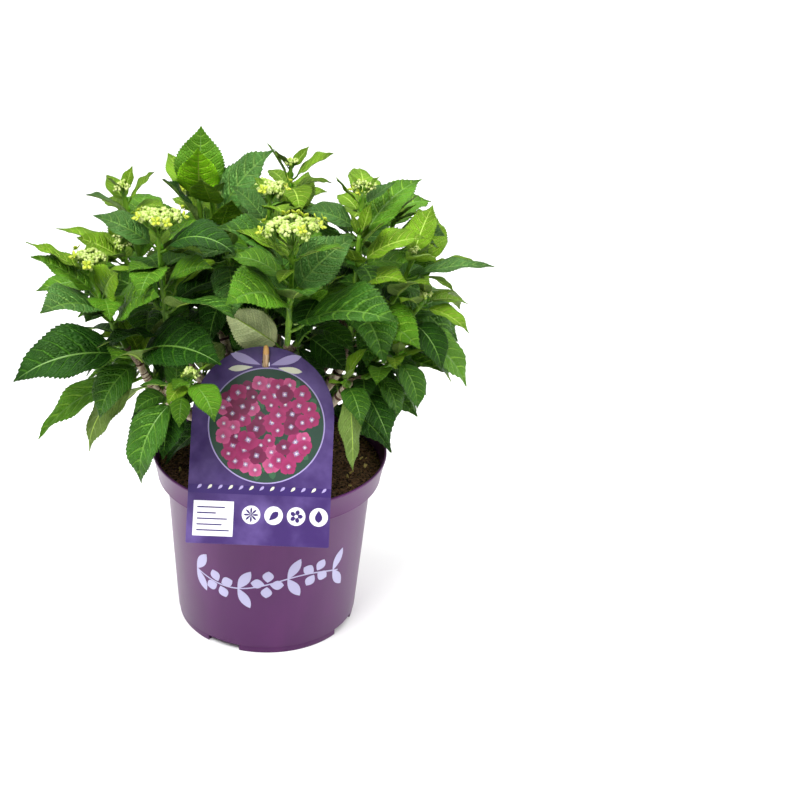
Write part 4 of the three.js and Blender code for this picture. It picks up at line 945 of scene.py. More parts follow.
# Small heads are at most this wide, in millimetres. The other sizes of a head are shares of its width.
SMALL_HEAD, CLUSTER_WIDTH, FEWEST_CLUSTERS = 25, 12.5, 4
GOLDEN_ANGLE, HEAD_SEED = 2.39996, 77
DOME_SPREAD, DOME_TOP, DOME_FALL, DOME_ROUND, CLUSTER_SPACING = 0.43, 0.10, 0.36, 0.55, 0.47
SPREAD_SCATTER, SPIN_SCATTER, LEVEL_SCATTER = (0.84, 1.1), (-0.2, 0.2), (-0.055, 0.045)
RAY_START, FORK_AT, FORK_FALL, RAY_ARCH = 0.975, 0.62, 4.5, 0.03
BUDS, SMALL_HEAD_BUDS, BUD_SPREAD, BUD_FALL = 16, 10, 0.78, 0.6
BUD_SPIN_SCATTER, BUD_DEPTH, BUD_SIZES, SMALL_HEAD_BUD_SIZE = (-0.3, 0.3), 0.0012, (0.8, 1.3), 0.8
RAY_RADII = [0.0009, 0.00075, 0.0007, 0.00065, 0.0006]
THREAD_RADII, THREAD_BEND_AT, THREAD_BEND = [0.00042, 0.00034, 0.00028], 0.6, 0.0006
FLORET_STALK_RADII, FLORET_OUT, FLORET_DROP, FLORET_TILT, FLORET_BUD_RADIUS = [0.0005, 0.0004], 0.75, 0.2, 0.5, 0.0008
LOBE_LENGTH, LOBE_HALF_WIDTH, LOBE_CUP, LOBE_THICKNESS = 0.0042, 0.0019, 0.0016, 0.0002
# Share of a lobe's length, share of its half width there
LOBE_ROWS = [(0.05, 0.15), (0.35, 0.8), (0.7, 0.9), (1.0, 0.25)]

bud_green, tree, shader = new_material("bud", (0.40, 0.48, 0.12), 0.5, Specular_IOR_Level=0.25)
speckle = spread_node(tree, noise_node(tree, 300, 3), 0.35, 0.65)
paint(tree, shader, blend_node(tree, speckle, (0.25, 0.38, 0.035), (0.54, 0.60, 0.24)))
floret_pale = new_material("floret", (0.43, 0.52, 0.03), 0.5)[0]
ray_green = new_material("ray", (0.17, 0.34, 0.03), 0.5)[0]


def ring_directions(axis):
    """Two directions square to the axis and to each other."""
    side = axis.orthogonal().normalized()
    return side, axis.cross(side)


def add_floret(builder, heart, face, spin):
    """A small open floret of four cupped lobes round a bud."""
    add_ball(builder, heart, FLORET_BUD_RADIUS, face, 1)
    side, other = ring_directions(face)
    for lobe in range(4):
        angle = math.pi * lobe / 2 + spin
        along = side * math.cos(angle) + other * math.sin(angle)
        across = face.cross(along)
        points = []
        for share, half in LOBE_ROWS:
            middle = heart + along * LOBE_LENGTH * share + face * LOBE_CUP * share * share
            edge = across * LOBE_HALF_WIDTH * half
            points += [middle - edge, middle + face * LOBE_THICKNESS, middle + edge, middle - face * LOBE_THICKNESS]
        builder.add(points, [(3, 2, 1, 0), (12, 13, 14, 15)] + ring_faces(3, 4), 0)


rays = Builder([ray_green])
florets = Builder([floret_pale, bud_green])
bud_places = []
bud_sizes = []
dice = random.Random(HEAD_SEED)
for name, (below, tip, turn, head, size, pairs) in SHOOTS.items():
    if not head:
        continue
    limb = shoots[name]
    width = head * MM
    large = head > SMALL_HEAD
    centre = limb.end + Vector((0, 0, width * HEAD_RISE))
    clusters = max(FEWEST_CLUSTERS, round((head / CLUSTER_WIDTH) ** 2))
    spacing = CLUSTER_SPACING * width / math.sqrt(clusters)
    start = limb.point(RAY_START)
    for cluster in range(clusters):
        out = DOME_SPREAD * width * math.sqrt((cluster + 0.5) / clusters) * dice.uniform(*SPREAD_SCATTER)
        spin = cluster * GOLDEN_ANGLE + turn + dice.uniform(*SPIN_SCATTER)
        level = width * (DOME_TOP - DOME_FALL * (out / width) ** 2 + dice.uniform(*LEVEL_SCATTER))
        top = centre + Vector((out * math.cos(spin), out * math.sin(spin), level))
        fork = limb.end.lerp(top, FORK_AT) + Vector((0, 0, -out / FORK_FALL))
        arch = Vector((0, 0, RAY_ARCH * width))
        shares = [step / (len(RAY_RADII) - 1) for step in range(len(RAY_RADII))]
        rays.tube([start.lerp(fork, share) + arch * math.sin(math.pi * share) for share in shares], RAY_RADII, 6, 0)
        lean = (top - centre + Vector((0, 0, DOME_ROUND * width))).normalized()
        buds = BUDS if large else SMALL_HEAD_BUDS
        for bud in range(buds):
            ring = spacing * BUD_SPREAD * math.sqrt((bud + 0.4) / buds)
            angle = bud * GOLDEN_ANGLE + dice.uniform(*BUD_SPIN_SCATTER)
            side, other = ring_directions(lean)
            place = top + side * ring * math.cos(angle) + other * ring * math.sin(angle)
            place -= lean * (BUD_DEPTH + BUD_FALL * ring * ring / spacing + dice.uniform(0, BUD_DEPTH))
            bend = fork.lerp(place, THREAD_BEND_AT) - lean * THREAD_BEND
            rays.tube([fork, bend, place], THREAD_RADII, 3, 0)
            bud_places.append(tuple(place))
            bud_sizes.append(dice.uniform(*BUD_SIZES) * (1 if large else SMALL_HEAD_BUD_SIZE))
        # Florets open at the outer clusters, two in three of them.
        if large and cluster > clusters * 0.3 and cluster % 3 != 1:
            outward = Vector((math.cos(spin), math.sin(spin), 0))
            heart = top + (outward - Vector((0, 0, FLORET_DROP))) * spacing * FLORET_OUT
            rays.tube([fork, heart], FLORET_STALK_RADII, 3, 0)
            add_floret(florets, heart, (lean + outward * FLORET_TILT).normalized(), spin)
finish_piece(rays.make("head_rays"), "foliage")
finish_piece(florets.make("head_florets"), "foliage")


def node_group(name, inputs):
    """An empty Geometry Nodes tree with a geometry in and out and these named number inputs."""
    group = bpy.data.node_groups.new(name, "GeometryNodeTree")
    group.interface.new_socket("Geometry", in_out="INPUT", socket_type="NodeSocketGeometry")
    group.interface.new_socket("Geometry", in_out="OUTPUT", socket_type="NodeSocketGeometry")
    for key, value in inputs.items():
        kind = "NodeSocketInt" if isinstance(value, int) else "NodeSocketFloat"
        group.interface.new_socket(key, in_out="INPUT", socket_type=kind).default_value = value
    return group, group.nodes.new("NodeGroupInput").outputs


def scatter_node(group, given, least, greatest):
    """A random turn or size for each copy, between these two."""
    node = add_node(group, "FunctionNodeRandomValue", {"Seed": given["Seed"]}, data_type="FLOAT_VECTOR")
    node.inputs[0].default_value = least
    node.inputs[1].default_value = greatest
    return node.outputs[0]


def end_group(group, geometry, material):
    """The end of every tree: the copies made real, with their material."""
    painted = add_node(group, "GeometryNodeSetMaterial", {"Geometry": geometry})
    painted.inputs["Material"].default_value = material
    add_node(group, "NodeGroupOutput", {"Geometry": painted.outputs[0]})


def mesh_of(piece):
    """The piece's own mesh, as its modifiers leave it."""
    return bpy.data.meshes.new_from_object(piece.evaluated_get(bpy.context.evaluated_depsgraph_get()))


def grown_by_nodes(piece, group, inputs, name):
    """The piece as its Geometry Nodes make it, as one plain mesh."""
    modifier = piece.modifiers.new("nodes", "NODES")
    modifier.node_group = group
    for item in group.interface.items_tree:
        if item.in_out == "INPUT" and item.name in inputs:
            modifier[item.identifier] = inputs[item.name]
    mesh = mesh_of(piece)
    piece.modifiers.clear()
    bpy.data.objects.remove(piece)
    return link(name, mesh)


bud_inputs = {"Bud Radius": 0.00135, "Seed": 5}
group, given = node_group("buds on their threads", bud_inputs)
ball = add_node(group, "GeometryNodeMeshUVSphere", {"Segments": 8, "Rings": 6, "Radius": given["Bud Radius"]})
sized = add_node(group, "GeometryNodeInputNamedAttribute", {"Name": "size"}, data_type="FLOAT")
placed = add_node(group, "GeometryNodeInstanceOnPoints", {
    "Points": given["Geometry"], "Instance": ball.outputs["Mesh"],
    "Rotation": scatter_node(group, given, (0, 0, 0), (3, 3, 3)), "Scale": sized.outputs["Attribute"],
})
real = add_node(group, "GeometryNodeRealizeInstances", {"Geometry": placed.outputs[0]})
soft = add_node(group, "GeometryNodeSetShadeSmooth", {"Geometry": real.outputs[0]})
end_group(group, soft.outputs[0], bud_green)

places_mesh = bpy.data.meshes.new("bud_places")
places_mesh.from_pydata(bud_places, [], [])
places_mesh.attributes.new("size", "FLOAT", "POINT").data.foreach_set("value", bud_sizes)
finish_piece(grown_by_nodes(link("bud_places", places_mesh), group, bud_inputs, "head_buds"), "foliage")

# Pot: a thin injection-moulded nursery container of dark purple plastic, with a stepped band at its rim, a drain
# channel with round holes under its base and four notches in its foot. It stands on the ground.

POT_SEGMENTS = 192
# Radius and height of the moulded wall in millimetres: under the base, up the outside, round the rim, down the inside
POT_PROFILE = [
    (0, 0), (59, 0), (61, 5), (70, 5), (72, 0), (76.7, 0), (77.3, 0.2), (77.5, 0.8), (77.5, 5.9), (78.5, 6.6),
    (78.72, 7.4), (87.9, 136.6), (88.2, 137.2), (88.8, 137.5), (95.0, 137.5), (95.5, 137.6), (95.75, 138.0),
    (95.7, 138.5), (95.75, 139.2), (99.5, 157.6), (99.9, 158.3), (100, 159.0), (99.85, 159.6), (99.4, 159.95),
    (98.7, 160), (98.2, 159.8), (97.9, 159.2), (94.1, 139.6), (93.7, 139.15), (93.2, 139.1), (87.2, 139.1),
    (86.6, 138.9), (86.35, 138.3), (77.1, 7), (59, 7), (57, 2), (0, 2),
]
NOTCHES, NOTCH_BEARING, NOTCH_INNER_RADIUS = 4, -28.5, 0.0697
NOTCH_WIDTH, NOTCH_DEPTH, NOTCH_HEIGHT = 0.030, 0.0775, 0.0055
DRAINS, DRAIN_RADIUS, DRAIN_REACH, DRAIN_LEVEL, DRAIN_CUT = 8, 0.004, 0.0655, 0.005, 0.014


def lathe(name, profile, segments, material):
    """A closed turned mesh; the profile in millimetres starts and ends on the axis."""
    points = [Vector((0, 0, profile[0][1]))]
    for radius, height in profile[1:-1]:
        for side in range(segments):
            angle = 2 * math.pi * side / segments
            points.append(Vector((radius * math.cos(angle), radius * math.sin(angle), height)))
    points.append(Vector((0, 0, profile[-1][1])))
    faces = []
    last = 1 + (len(profile) - 3) * segments
    for side in range(segments):
        near = (side + 1) % segments
        faces.append((0, 1 + near, 1 + side))
        for low in range(1, last, segments):
            faces.append((low + side, low + near, low + near + segments, low + side + segments))
        faces.append((last + side, last + near, len(points) - 1))
    mesh = bpy.data.meshes.new(name)
    mesh.from_pydata([tuple(point * MM) for point in points], [], faces)
    mesh.materials.append(material)
    return link(name, mesh)


pot_plastic, tree, shader = new_material("pot_plastic", (0.058, 0.011, 0.070), 0.34)
shader.inputs["Specular Tint"].default_value = (0.85, 0.4, 0.85, 1)
dust = noise_node(tree, 24, 6, (1, 1, 0.5))
paint(tree, shader, blend_node(tree, spread_node(tree, dust, 0.42, 0.75), (0.050, 0.009, 0.060), (0.068, 0.013, 0.078)))
grain = math_node(tree, "MULTIPLY", noise_node(tree, 900, 2), 0.06)
dull = math_node(tree, "ADD", spread_node(tree, dust, 0.2, 0.8, 0.28, 0.36), grain)
tree.links.new(dull, shader.inputs["Roughness"])

pot = lathe("pot_shell", POT_PROFILE, POT_SEGMENTS, pot_plastic)
cuts = bmesh.new()
for number in range(NOTCHES):
    turn = Matrix.Rotation(math.radians(NOTCH_BEARING + 360 / NOTCHES * number), 4, "Z")
    place = Matrix.Translation((0, -NOTCH_INNER_RADIUS - NOTCH_DEPTH / 2, 0))
    size = Matrix.Diagonal((NOTCH_WIDTH, NOTCH_DEPTH, 2 * NOTCH_HEIGHT, 1))
    bmesh.ops.create_cube(cuts, size=1, matrix=turn @ place @ size)
for number in range(DRAINS):
    place = Matrix.Translation(polar(360 / DRAINS * (number + 0.5), DRAIN_REACH, DRAIN_LEVEL))
    bmesh.ops.create_cone(
        cuts, segments=32, radius1=DRAIN_RADIUS, radius2=DRAIN_RADIUS, depth=DRAIN_CUT, cap_ends=True, matrix=place,
    )
cutter = link("cutter", bpy.data.meshes.new("cutter"))
cuts.to_mesh(cutter.data)
cut = pot.modifiers.new("cut", "BOOLEAN")
cut.object = cutter
cut.operation = "DIFFERENCE"
cut.solver = "EXACT"
pot_mesh = mesh_of(pot)
pot.modifiers.clear()
pot.data = pot_mesh
bpy.data.objects.remove(cutter)
pot_mesh.shade_smooth()
pot_mesh.set_sharp_from_angle(angle=math.radians(32))
finish_piece(pot, "pot", "pot")

# Print on the pot: a pale garland of leaves and four-petalled flowers in one ink, printed round the front of the
# wall. Its places are in millimetres round the wall from the front, and up from the ground.

GARLAND_HEIGHT, GARLAND_SWING, GARLAND_HALF, GARLAND_STEP, GARLAND_STEM_HALF = 74, 7, 66, 2, 0.6
GARLAND_LEAVES, GARLAND_LEAF_SPLAY, GARLAND_LEAF_SIZE = (-66, -25, 17, 60), math.radians(60), (22, 9)
GARLAND_FLOWERS, FLOWER_HEART, FLOWER_PETAL_SIZE = (-42, 0, 42), 2.4, (11.5, 9.5)
# How far the inks stand off the wall, and how thick they are
STEM_INK, LEAF_INK, FLOWER_INK, INK_THICKNESS = 0.12, 0.14, 0.16, 0.1
# The wall above the foot: its radius and height there, and how much it widens with its height
WALL_FOOT_RADIUS, WALL_FOOT_HEIGHT, WALL_SLOPE = 78.72, 7.4, 9.18 / 129.2


def on_pot(x, height, level):
    radius = WALL_FOOT_RADIUS + (height - WALL_FOOT_HEIGHT) * WALL_SLOPE + level
    return Vector((radius * math.sin(x / radius), -radius * math.cos(x / radius), height)) * MM


def along_line(x, y, angle, reach):
    return x + reach * math.cos(angle), y + reach * math.sin(angle)


def garland_line(x):
    return GARLAND_HEIGHT + GARLAND_SWING * math.sin(math.pi * x / GARLAND_HALF)


def ribbon(builder, spine, halves, level):
    """A thin closed band that follows the wall along its spine, this far off the wall."""
    points = []
    for index, (x, y) in enumerate(spine):
        before, after = spine[max(index - 1, 0)], spine[min(index + 1, len(spine) - 1)]
        reach = math.dist(before, after)
        up = ((before[1] - after[1]) / reach * halves[index], (after[0] - before[0]) / reach * halves[index])
        corners = [(1, level), (-1, level), (-1, level - INK_THICKNESS), (1, level - INK_THICKNESS)]
        points += [on_pot(x + side * up[0], y + side * up[1], off) for side, off in corners]
    last = len(points) - 4
    faces = [(0, 1, 2, 3), (last + 3, last + 2, last + 1, last)]
    for row in range(0, last, 4):
        for corner in range(4):
            near = (corner + 1) % 4
            faces.append((row + corner, row + 4 + corner, row + 4 + near, row + near))
    builder.add(points, faces, 0)


def petal_ribbon(builder, x, y, angle, size, level):
    """A leaf or petal as a band that is wide in its middle."""
    length, width = size
    shares = [step / 8 for step in range(9)]
    halves = [max(0.15, width / 2 * math.sin(math.pi * share ** 1.1) ** 0.8) for share in shares]
    ribbon(builder, [along_line(x, y, angle, length * share) for share in shares], halves, level)


garland = Builder([new_material("pot_print", (0.42, 0.40, 0.60), 0.4)[0]])
stem = [(x, garland_line(x)) for x in range(-GARLAND_HALF, GARLAND_HALF + 1, GARLAND_STEP)]
ribbon(garland, stem, [GARLAND_STEM_HALF] * len(stem), STEM_INK)
for x in GARLAND_LEAVES:
    for angle in (-GARLAND_LEAF_SPLAY, GARLAND_LEAF_SPLAY):
        petal_ribbon(garland, x, garland_line(x), angle, GARLAND_LEAF_SIZE, LEAF_INK)
for number, x in enumerate(GARLAND_FLOWERS):
    for quarter in range(4):
        angle = quarter * math.pi / 2 + 0.5 + number
        foot = along_line(x, garland_line(x), angle, FLOWER_HEART)
        petal_ribbon(garland, *foot, angle, FLOWER_PETAL_SIZE, FLOWER_INK)
finish_piece(garland.make("pot_print", False), "pot")

# Soil: dark moist compost that fills the pot to a little below the rim, uneven on top, with crumbs of peat, bits of
# yellowish bark and short fibres lying on it.

SOIL_SEGMENTS, SOIL_ROWS = 120, 20
# Radius and height in millimetres: the flat middle, the edge at the pot's wall, and the underside over the pot's floor
SOIL_MIDDLE, SOIL_SHOULDER, SOIL_EDGE = (12, 148.5), (25.5, 148.4), (94.9, 145.5)
SOIL_UNDERSIDE = [(0, 2.3), (56.7, 2.3), (58.7, 7.3), (76.8, 7.3), (86.1, 139.4), (93.6, 139.4)]
LUMP_HEIGHT, LUMPS_ABOVE, LUMPS_WITHIN, LUMPS_FADE_OUT, LUMPS_FADE = 0.0011, 0.1453, 0.0945, 0.095, 0.006
CRUMBS_ABOVE = 0.1446
LITTER_LEVEL_REACH, LITTER_FALL = 0.0255, 0.003 / 0.0694
LITTER, LITTER_REACH, CHIP_EVERY, LITTER_SEED = 330, 0.091, 5, 31
FIBRE_LENGTHS, FIBRE_BEND, FIBRE_RADII = (0.003, 0.011), (-0.3, 0.3), [0.00025, 0.0002, 0.00015]
CHIP_LENGTHS, CHIP_WIDE_END, CHIP_THIN_END, CHIP_FLATNESS = (0.002, 0.0055), 0.32, 0.2, 0.7

soil_dark, tree, shader = new_material("soil", (0.035, 0.02, 0.012), 0.95, Specular_IOR_Level=0.2)
lumps = noise_node(tree, 420, 6)
brown = blend_node(tree, spread_node(tree, lumps, 0.35, 0.65), (0.014, 0.008, 0.004), (0.14, 0.076, 0.034))
bits = spread_node(tree, noise_node(tree, 1300, 2), 0.66, 0.74)
paint(tree, shader, blend_node(tree, bits, brown, (0.26, 0.16, 0.07)))
relief(tree, shader, lumps, 0.0012)

soil_top = [(0, SOIL_MIDDLE[1]), SOIL_MIDDLE, SOIL_SHOULDER]
for step in range(1, SOIL_ROWS + 1):
    reach, fall = SOIL_EDGE[0] - SOIL_SHOULDER[0], SOIL_SHOULDER[1] - SOIL_EDGE[1]
    soil_top.append((SOIL_SHOULDER[0] + reach * step / SOIL_ROWS, SOIL_SHOULDER[1] - fall * step / SOIL_ROWS))
soil = lathe("soil_bed", SOIL_UNDERSIDE + soil_top[::-1], SOIL_SEGMENTS, soil_dark)
for vertex in soil.data.vertices:
    x, y, z = vertex.co
    if z > LUMPS_ABOVE and math.hypot(x, y) < LUMPS_WITHIN:
        edge = min(1, (LUMPS_FADE_OUT - math.hypot(x, y)) / LUMPS_FADE)
        lump = math.sin(310 * x + 2) * math.sin(270 * y + 1) + 0.6 * math.sin(820 * x + 3 * y) * math.sin(760 * y)
        vertex.co.z += LUMP_HEIGHT * lump * edge
soil.data.shade_smooth()
finish_piece(soil, "soil", "soil")

crumb_inputs = {"Crumb Radius": 0.0014, "Crumbs per Square Metre": 75000.0, "Seed": 12}
group, given = node_group("crumbs on the soil", crumb_inputs)
place = add_node(group, "GeometryNodeInputPosition").outputs[0]
height = add_node(group, "ShaderNodeSeparateXYZ", {0: place}).outputs[2]
on_top = add_node(group, "FunctionNodeCompare", {0: height, 1: CRUMBS_ABOVE}, operation="GREATER_THAN")
spread = add_node(group, "GeometryNodeDistributePointsOnFaces", {
    "Mesh": given["Geometry"], "Density": given["Crumbs per Square Metre"], "Seed": given["Seed"],
    "Selection": on_top.outputs[0],
})
crumb = add_node(group, "GeometryNodeMeshIcoSphere", {"Radius": given["Crumb Radius"], "Subdivisions": 1})
placed = add_node(group, "GeometryNodeInstanceOnPoints", {
    "Points": spread.outputs[0], "Instance": crumb.outputs[0],
    "Rotation": scatter_node(group, given, (0, 0, 0), (6.3, 6.3, 6.3)),
    "Scale": scatter_node(group, given, (0.3, 0.3, 0.25), (1.5, 1.3, 0.9)),
})
end_group(group, add_node(group, "GeometryNodeRealizeInstances", {"Geometry": placed.outputs[0]}).outputs[0], soil_dark)
finish_piece(grown_by_nodes(link("crumb_bed", soil.data), group, crumb_inputs, "soil_crumbs"), "soil")

fibre = new_material("fibre", (0.16, 0.09, 0.04), 0.8)[0]
chip = new_material("chip", (0.42, 0.33, 0.09), 0.7)[0]
litter = Builder([fibre, chip])
dice = random.Random(LITTER_SEED)
for number in range(LITTER):
    reach = LITTER_REACH * math.sqrt(dice.random())
    spot = polar(dice.uniform(0, 360), reach, GROUND - LITTER_FALL * max(0, reach - LITTER_LEVEL_REACH))
    heading = dice.uniform(0, FULL_TURN)
    along = Vector((math.cos(heading), math.sin(heading), dice.uniform(-0.1, 0.35)))
    if number % CHIP_EVERY:
        length = dice.uniform(*FIBRE_LENGTHS)
        bend = Vector((-along.y, along.x, 0.3)) * length * dice.uniform(*FIBRE_BEND)
        litter.tube([spot, spot + along * length * 0.5 + bend, spot + along * length], FIBRE_RADII, 4, 0)
    else:
        length = dice.uniform(*CHIP_LENGTHS)
        radii = [length * CHIP_WIDE_END, length * CHIP_THIN_END]
        litter.tube([spot, spot + along * length], radii, 5, 1, lambda ring, side: 1 - CHIP_FLATNESS * (side % 2))
finish_piece(litter.make("soil_litter", False), "soil")

# Care label: a stiff printed plastic card with an arched top, about a millimetre thick. It leans on the pot's rim and
# hangs on the stick through a slot. The print is a plain design of violet, a round picture of florets and small signs.

LABEL_LEAN, LABEL_BEARING = math.radians(33), -2.6
RIM_RADIUS, RIM_TOP, GAP = 0.1, 0.16, 0.0003
LABEL_SIDEWAYS, LABEL_BELOW_RIM = 0.0034, 0.031
# The card and its print in millimetres, across from its middle and up from its lower edge
LABEL_HALF, LABEL_LENGTH, LABEL_THICKNESS, LABEL_CORNER, LABEL_BEVEL = 57, 160, 0.9, 0.8, 0.1
SLOT_HEIGHT, SLOT_RADIUS, SLOT_STRETCH = 148, 3.1, 2.8
PICTURE, PICTURE_RADIUS, PICTURE_EDGE = (3, 96), 46, 1
PICTURE_LEAVES, FLORET_TRIES, FLORET_APART, FLORET_LENGTHS, PICTURE_SEED = 26, 900, 7.4, (5.5, 9), 9
BAND_LOW, BAND_HIGH = 40, 47
ROW_LEAVES, ROW_START, ROW_STEP, ROW_HEIGHT = 13, -50, 8.3, 43.5
SIGNS, SIGN_HEIGHT, SIGN_RADIUS = (-6, 12, 30, 48), 24, 7.4
PANEL_LEFT, PANEL_RIGHT, PANEL_LOW, PANEL_HIGH = -52, -20, 6, 34
LINES, LINE_LEFT, LINE_LOW, LINE_STEP, LINE_WIDTH = (26, 20, 24, 15, 22), -49, 10, 4.6, 1.1
# How thick the print is, and how far its layers stand off the card
PRINT_THICKNESS = 0.06
EDGE_INK, PANEL_INK, PICTURE_INK, SIGN_INK, MARK_INK = 0.06, 0.08, 0.10, 0.12, 0.13
FLORET_INK, FLORET_STEP, FLORET_LAYERS, PETAL_STEP = 0.17, 0.045, 5, 0.008

label_up = polar(LABEL_BEARING, -math.sin(LABEL_LEAN), math.cos(LABEL_LEAN))
label_face = polar(LABEL_BEARING, math.cos(LABEL_LEAN), math.sin(LABEL_LEAN))
label_across = label_up.cross(label_face)
label_foot = polar(LABEL_BEARING, RIM_RADIUS, RIM_TOP) + label_face * GAP
label_foot = label_foot - label_across * LABEL_SIDEWAYS - label_up * LABEL_BELOW_RIM


def on_label(x, y, level):
    return label_foot + (label_across * x + label_up * y + label_face * (LABEL_THICKNESS + level)) * MM


def arc(x, y, radius, steps, turn, lift=0.0):
    """Points round part of a circle; the first half of them is lifted, and the rest lowered."""
    angles = [turn * step / steps for step in range(steps)]
    lifts = [lift if step < steps / 2 else -lift for step in range(steps)]
    return [(x + radius * math.cos(angle), y + up + radius * math.sin(angle)) for angle, up in zip(angles, lifts)]


card_violet, tree, shader = new_material("card_violet", (0.07, 0.03, 0.17), 0.28, Coat_Weight=0.4, Coat_Roughness=0.12)
clouds = spread_node(tree, noise_node(tree, 30, 5), 0.38, 0.72)
paint(tree, shader, blend_node(tree, clouds, (0.042, 0.016, 0.12), (0.12, 0.075, 0.26)))

card = bpy.data.curves.new("card", "CURVE")
card.dimensions = "2D"
card.fill_mode = "BOTH"
card.extrude = (LABEL_THICKNESS / 2 - LABEL_BEVEL) * MM
card.bevel_depth = LABEL_BEVEL * MM
foot_edge = LABEL_HALF - LABEL_CORNER
card_outline = [(-foot_edge, 0), (foot_edge, 0), (LABEL_HALF, LABEL_CORNER)]
card_outline += arc(0, LABEL_LENGTH - LABEL_HALF, LABEL_HALF, 64, math.pi)
card_outline += [(-LABEL_HALF, LABEL_LENGTH - LABEL_HALF), (-LABEL_HALF, LABEL_CORNER)]
slot_outline = arc(0, SLOT_HEIGHT, SLOT_RADIUS, 32, 2 * math.pi, SLOT_STRETCH)
for outline in (card_outline, slot_outline):
    spline = card.splines.new("POLY")
    spline.points.add(len(outline) - 1)
    for spot, (x, y) in zip(spline.points, outline):
        spot.co = (x * MM, y * MM, 0, 1)
    spline.use_cyclic_u = True
flat_card = link("card", card)
mesh = mesh_of(flat_card)
bpy.data.objects.remove(flat_card)
lean = Matrix((label_across, label_up, label_face)).transposed().to_4x4()
lean.translation = label_foot + label_face * LABEL_THICKNESS / 2 * MM
mesh.transform(lean)
mesh.materials.clear()
mesh.materials.append(card_violet)
finish_piece(link("label_card", mesh), "label", "label")

ink_colours = {
    "ink_white": (0.80, 0.79, 0.84),
    "ink_deep": (0.032, 0.010, 0.12),
    "ink_forest": (0.018, 0.055, 0.035),
    "ink_magenta": (0.38, 0.025, 0.135),
    "ink_pink": (0.56, 0.085, 0.24),
    "ink_wine": (0.20, 0.012, 0.075),
    "ink_cream": (0.74, 0.74, 0.60),
    "ink_lilac": (0.40, 0.33, 0.62),
    "ink_leaf": (0.035, 0.12, 0.055),
}
WHITE, DEEP, FOREST, MAGENTA, PINK, WINE, CREAM, LILAC, LEAFY = range(9)
FLORET_INKS = ("ink_magenta", "ink_pink", "ink_wine")
inks = []
for name, colour in ink_colours.items():
    material, tree, shader = new_material(name, colour, 0.3, Coat_Weight=0.3, Coat_Roughness=0.12)
    inks.append(material)
    if name in FLORET_INKS:
        place = add_node(tree, "ShaderNodeUVMap", uv_map="place").outputs[0]
        along = add_node(tree, "ShaderNodeSeparateXYZ", {0: place}).outputs[0]
        middle = tuple(0.75 * value for value in colour)
        from_heart = blend_node(tree, spread_node(tree, along, 0.05, 0.42), (0.55, 0.48, 0.80), middle)
        paint(tree, shader, blend_node(tree, spread_node(tree, along, 0.45, 1.0), from_heart, colour))
prints = Builder(inks)


def patch(outline, level, ink):
    """A thin closed slab of ink; its places tell how far a corner is from the first."""
    count = len(outline)
    reaches = [math.dist(outline[0], corner) for corner in outline]
    places = [(reach / max(reaches), 0) for reach in reaches] * 2
    points = [on_label(x, y, level - depth) for depth in (0, PRINT_THICKNESS) for x, y in outline]
    faces = [tuple(range(count)), tuple(range(2 * count - 1, count - 1, -1))]
    faces += [(side + count, (side + 1) % count + count, (side + 1) % count, side) for side in range(count)]
    prints.add(points, faces, ink, places)


def disc(x, y, radius, level, ink, sides):
    patch(arc(x, y, radius, sides, 2 * math.pi), level, ink)


def block(left, low, right, high, level, ink):
    patch([(left, low), (right, low), (right, high), (left, high)], level, ink)


def petal(x, y, angle, length, width, level, ink, slimness=0.7):
    """A petal or leaf from its foot, round its tip and back; a greater slimness draws its sides in."""
    side = []
    for step in range(8):
        share = step / 7
        side.append((length * share, width / 2 * math.sin(math.pi * share ** 1.4) ** slimness))
    ring = side + [(along, -off) for along, off in side[-2:0:-1]]
    patch([
        (x + along * math.cos(angle) - off * math.sin(angle), y + along * math.sin(angle) + off * math.cos(angle))
        for along, off in ring
    ], level, ink)


def spot_within(reach):
    """A seeded place in the round picture and its direction from the middle."""
    out = reach * math.sqrt(dice.random())
    angle = dice.uniform(0, FULL_TURN)
    return PICTURE[0] + out * math.cos(angle), PICTURE[1] + out * math.sin(angle), out, angle


disc(*PICTURE, PICTURE_RADIUS + PICTURE_EDGE, EDGE_INK, LILAC, 96)
disc(*PICTURE, PICTURE_RADIUS, PICTURE_INK, FOREST, 96)
dice = random.Random(PICTURE_SEED)
for number in range(PICTURE_LEAVES):
    x, y, out, angle = spot_within(40)
    petal(x, y, angle, min(13, PICTURE_RADIUS - 1 - out), 6, MARK_INK, LEAFY)
spots = []
for _ in range(FLORET_TRIES):
    spot = spot_within(38)[:2]
    if all(math.dist(spot, other) > FLORET_APART for other in spots):
        spots.append(spot)
for number, (x, y) in enumerate(spots):
    turn = dice.uniform(0, 1.6)
    length = dice.uniform(*FLORET_LENGTHS)
    level = FLORET_INK + FLORET_STEP * (number % FLORET_LAYERS)
    ink = dice.choice([MAGENTA, MAGENTA, PINK, WINE])
    for quarter in range(4):
        size = length * dice.uniform(0.85, 1.1)
        petal(x, y, turn + quarter * math.pi / 2, size, size * 1.1, level + PETAL_STEP * quarter, ink, 1.05)
    disc(x, y, 0.7, level + PRINT_THICKNESS, CREAM, 10)

block(-LABEL_HALF, BAND_LOW, LABEL_HALF, BAND_HIGH, PANEL_INK, DEEP)
for number in range(ROW_LEAVES):
    ink = CREAM if number % 2 else LILAC
    petal(ROW_START + number * ROW_STEP, ROW_HEIGHT, math.pi / 4, 5, 2.2, SIGN_INK, ink)

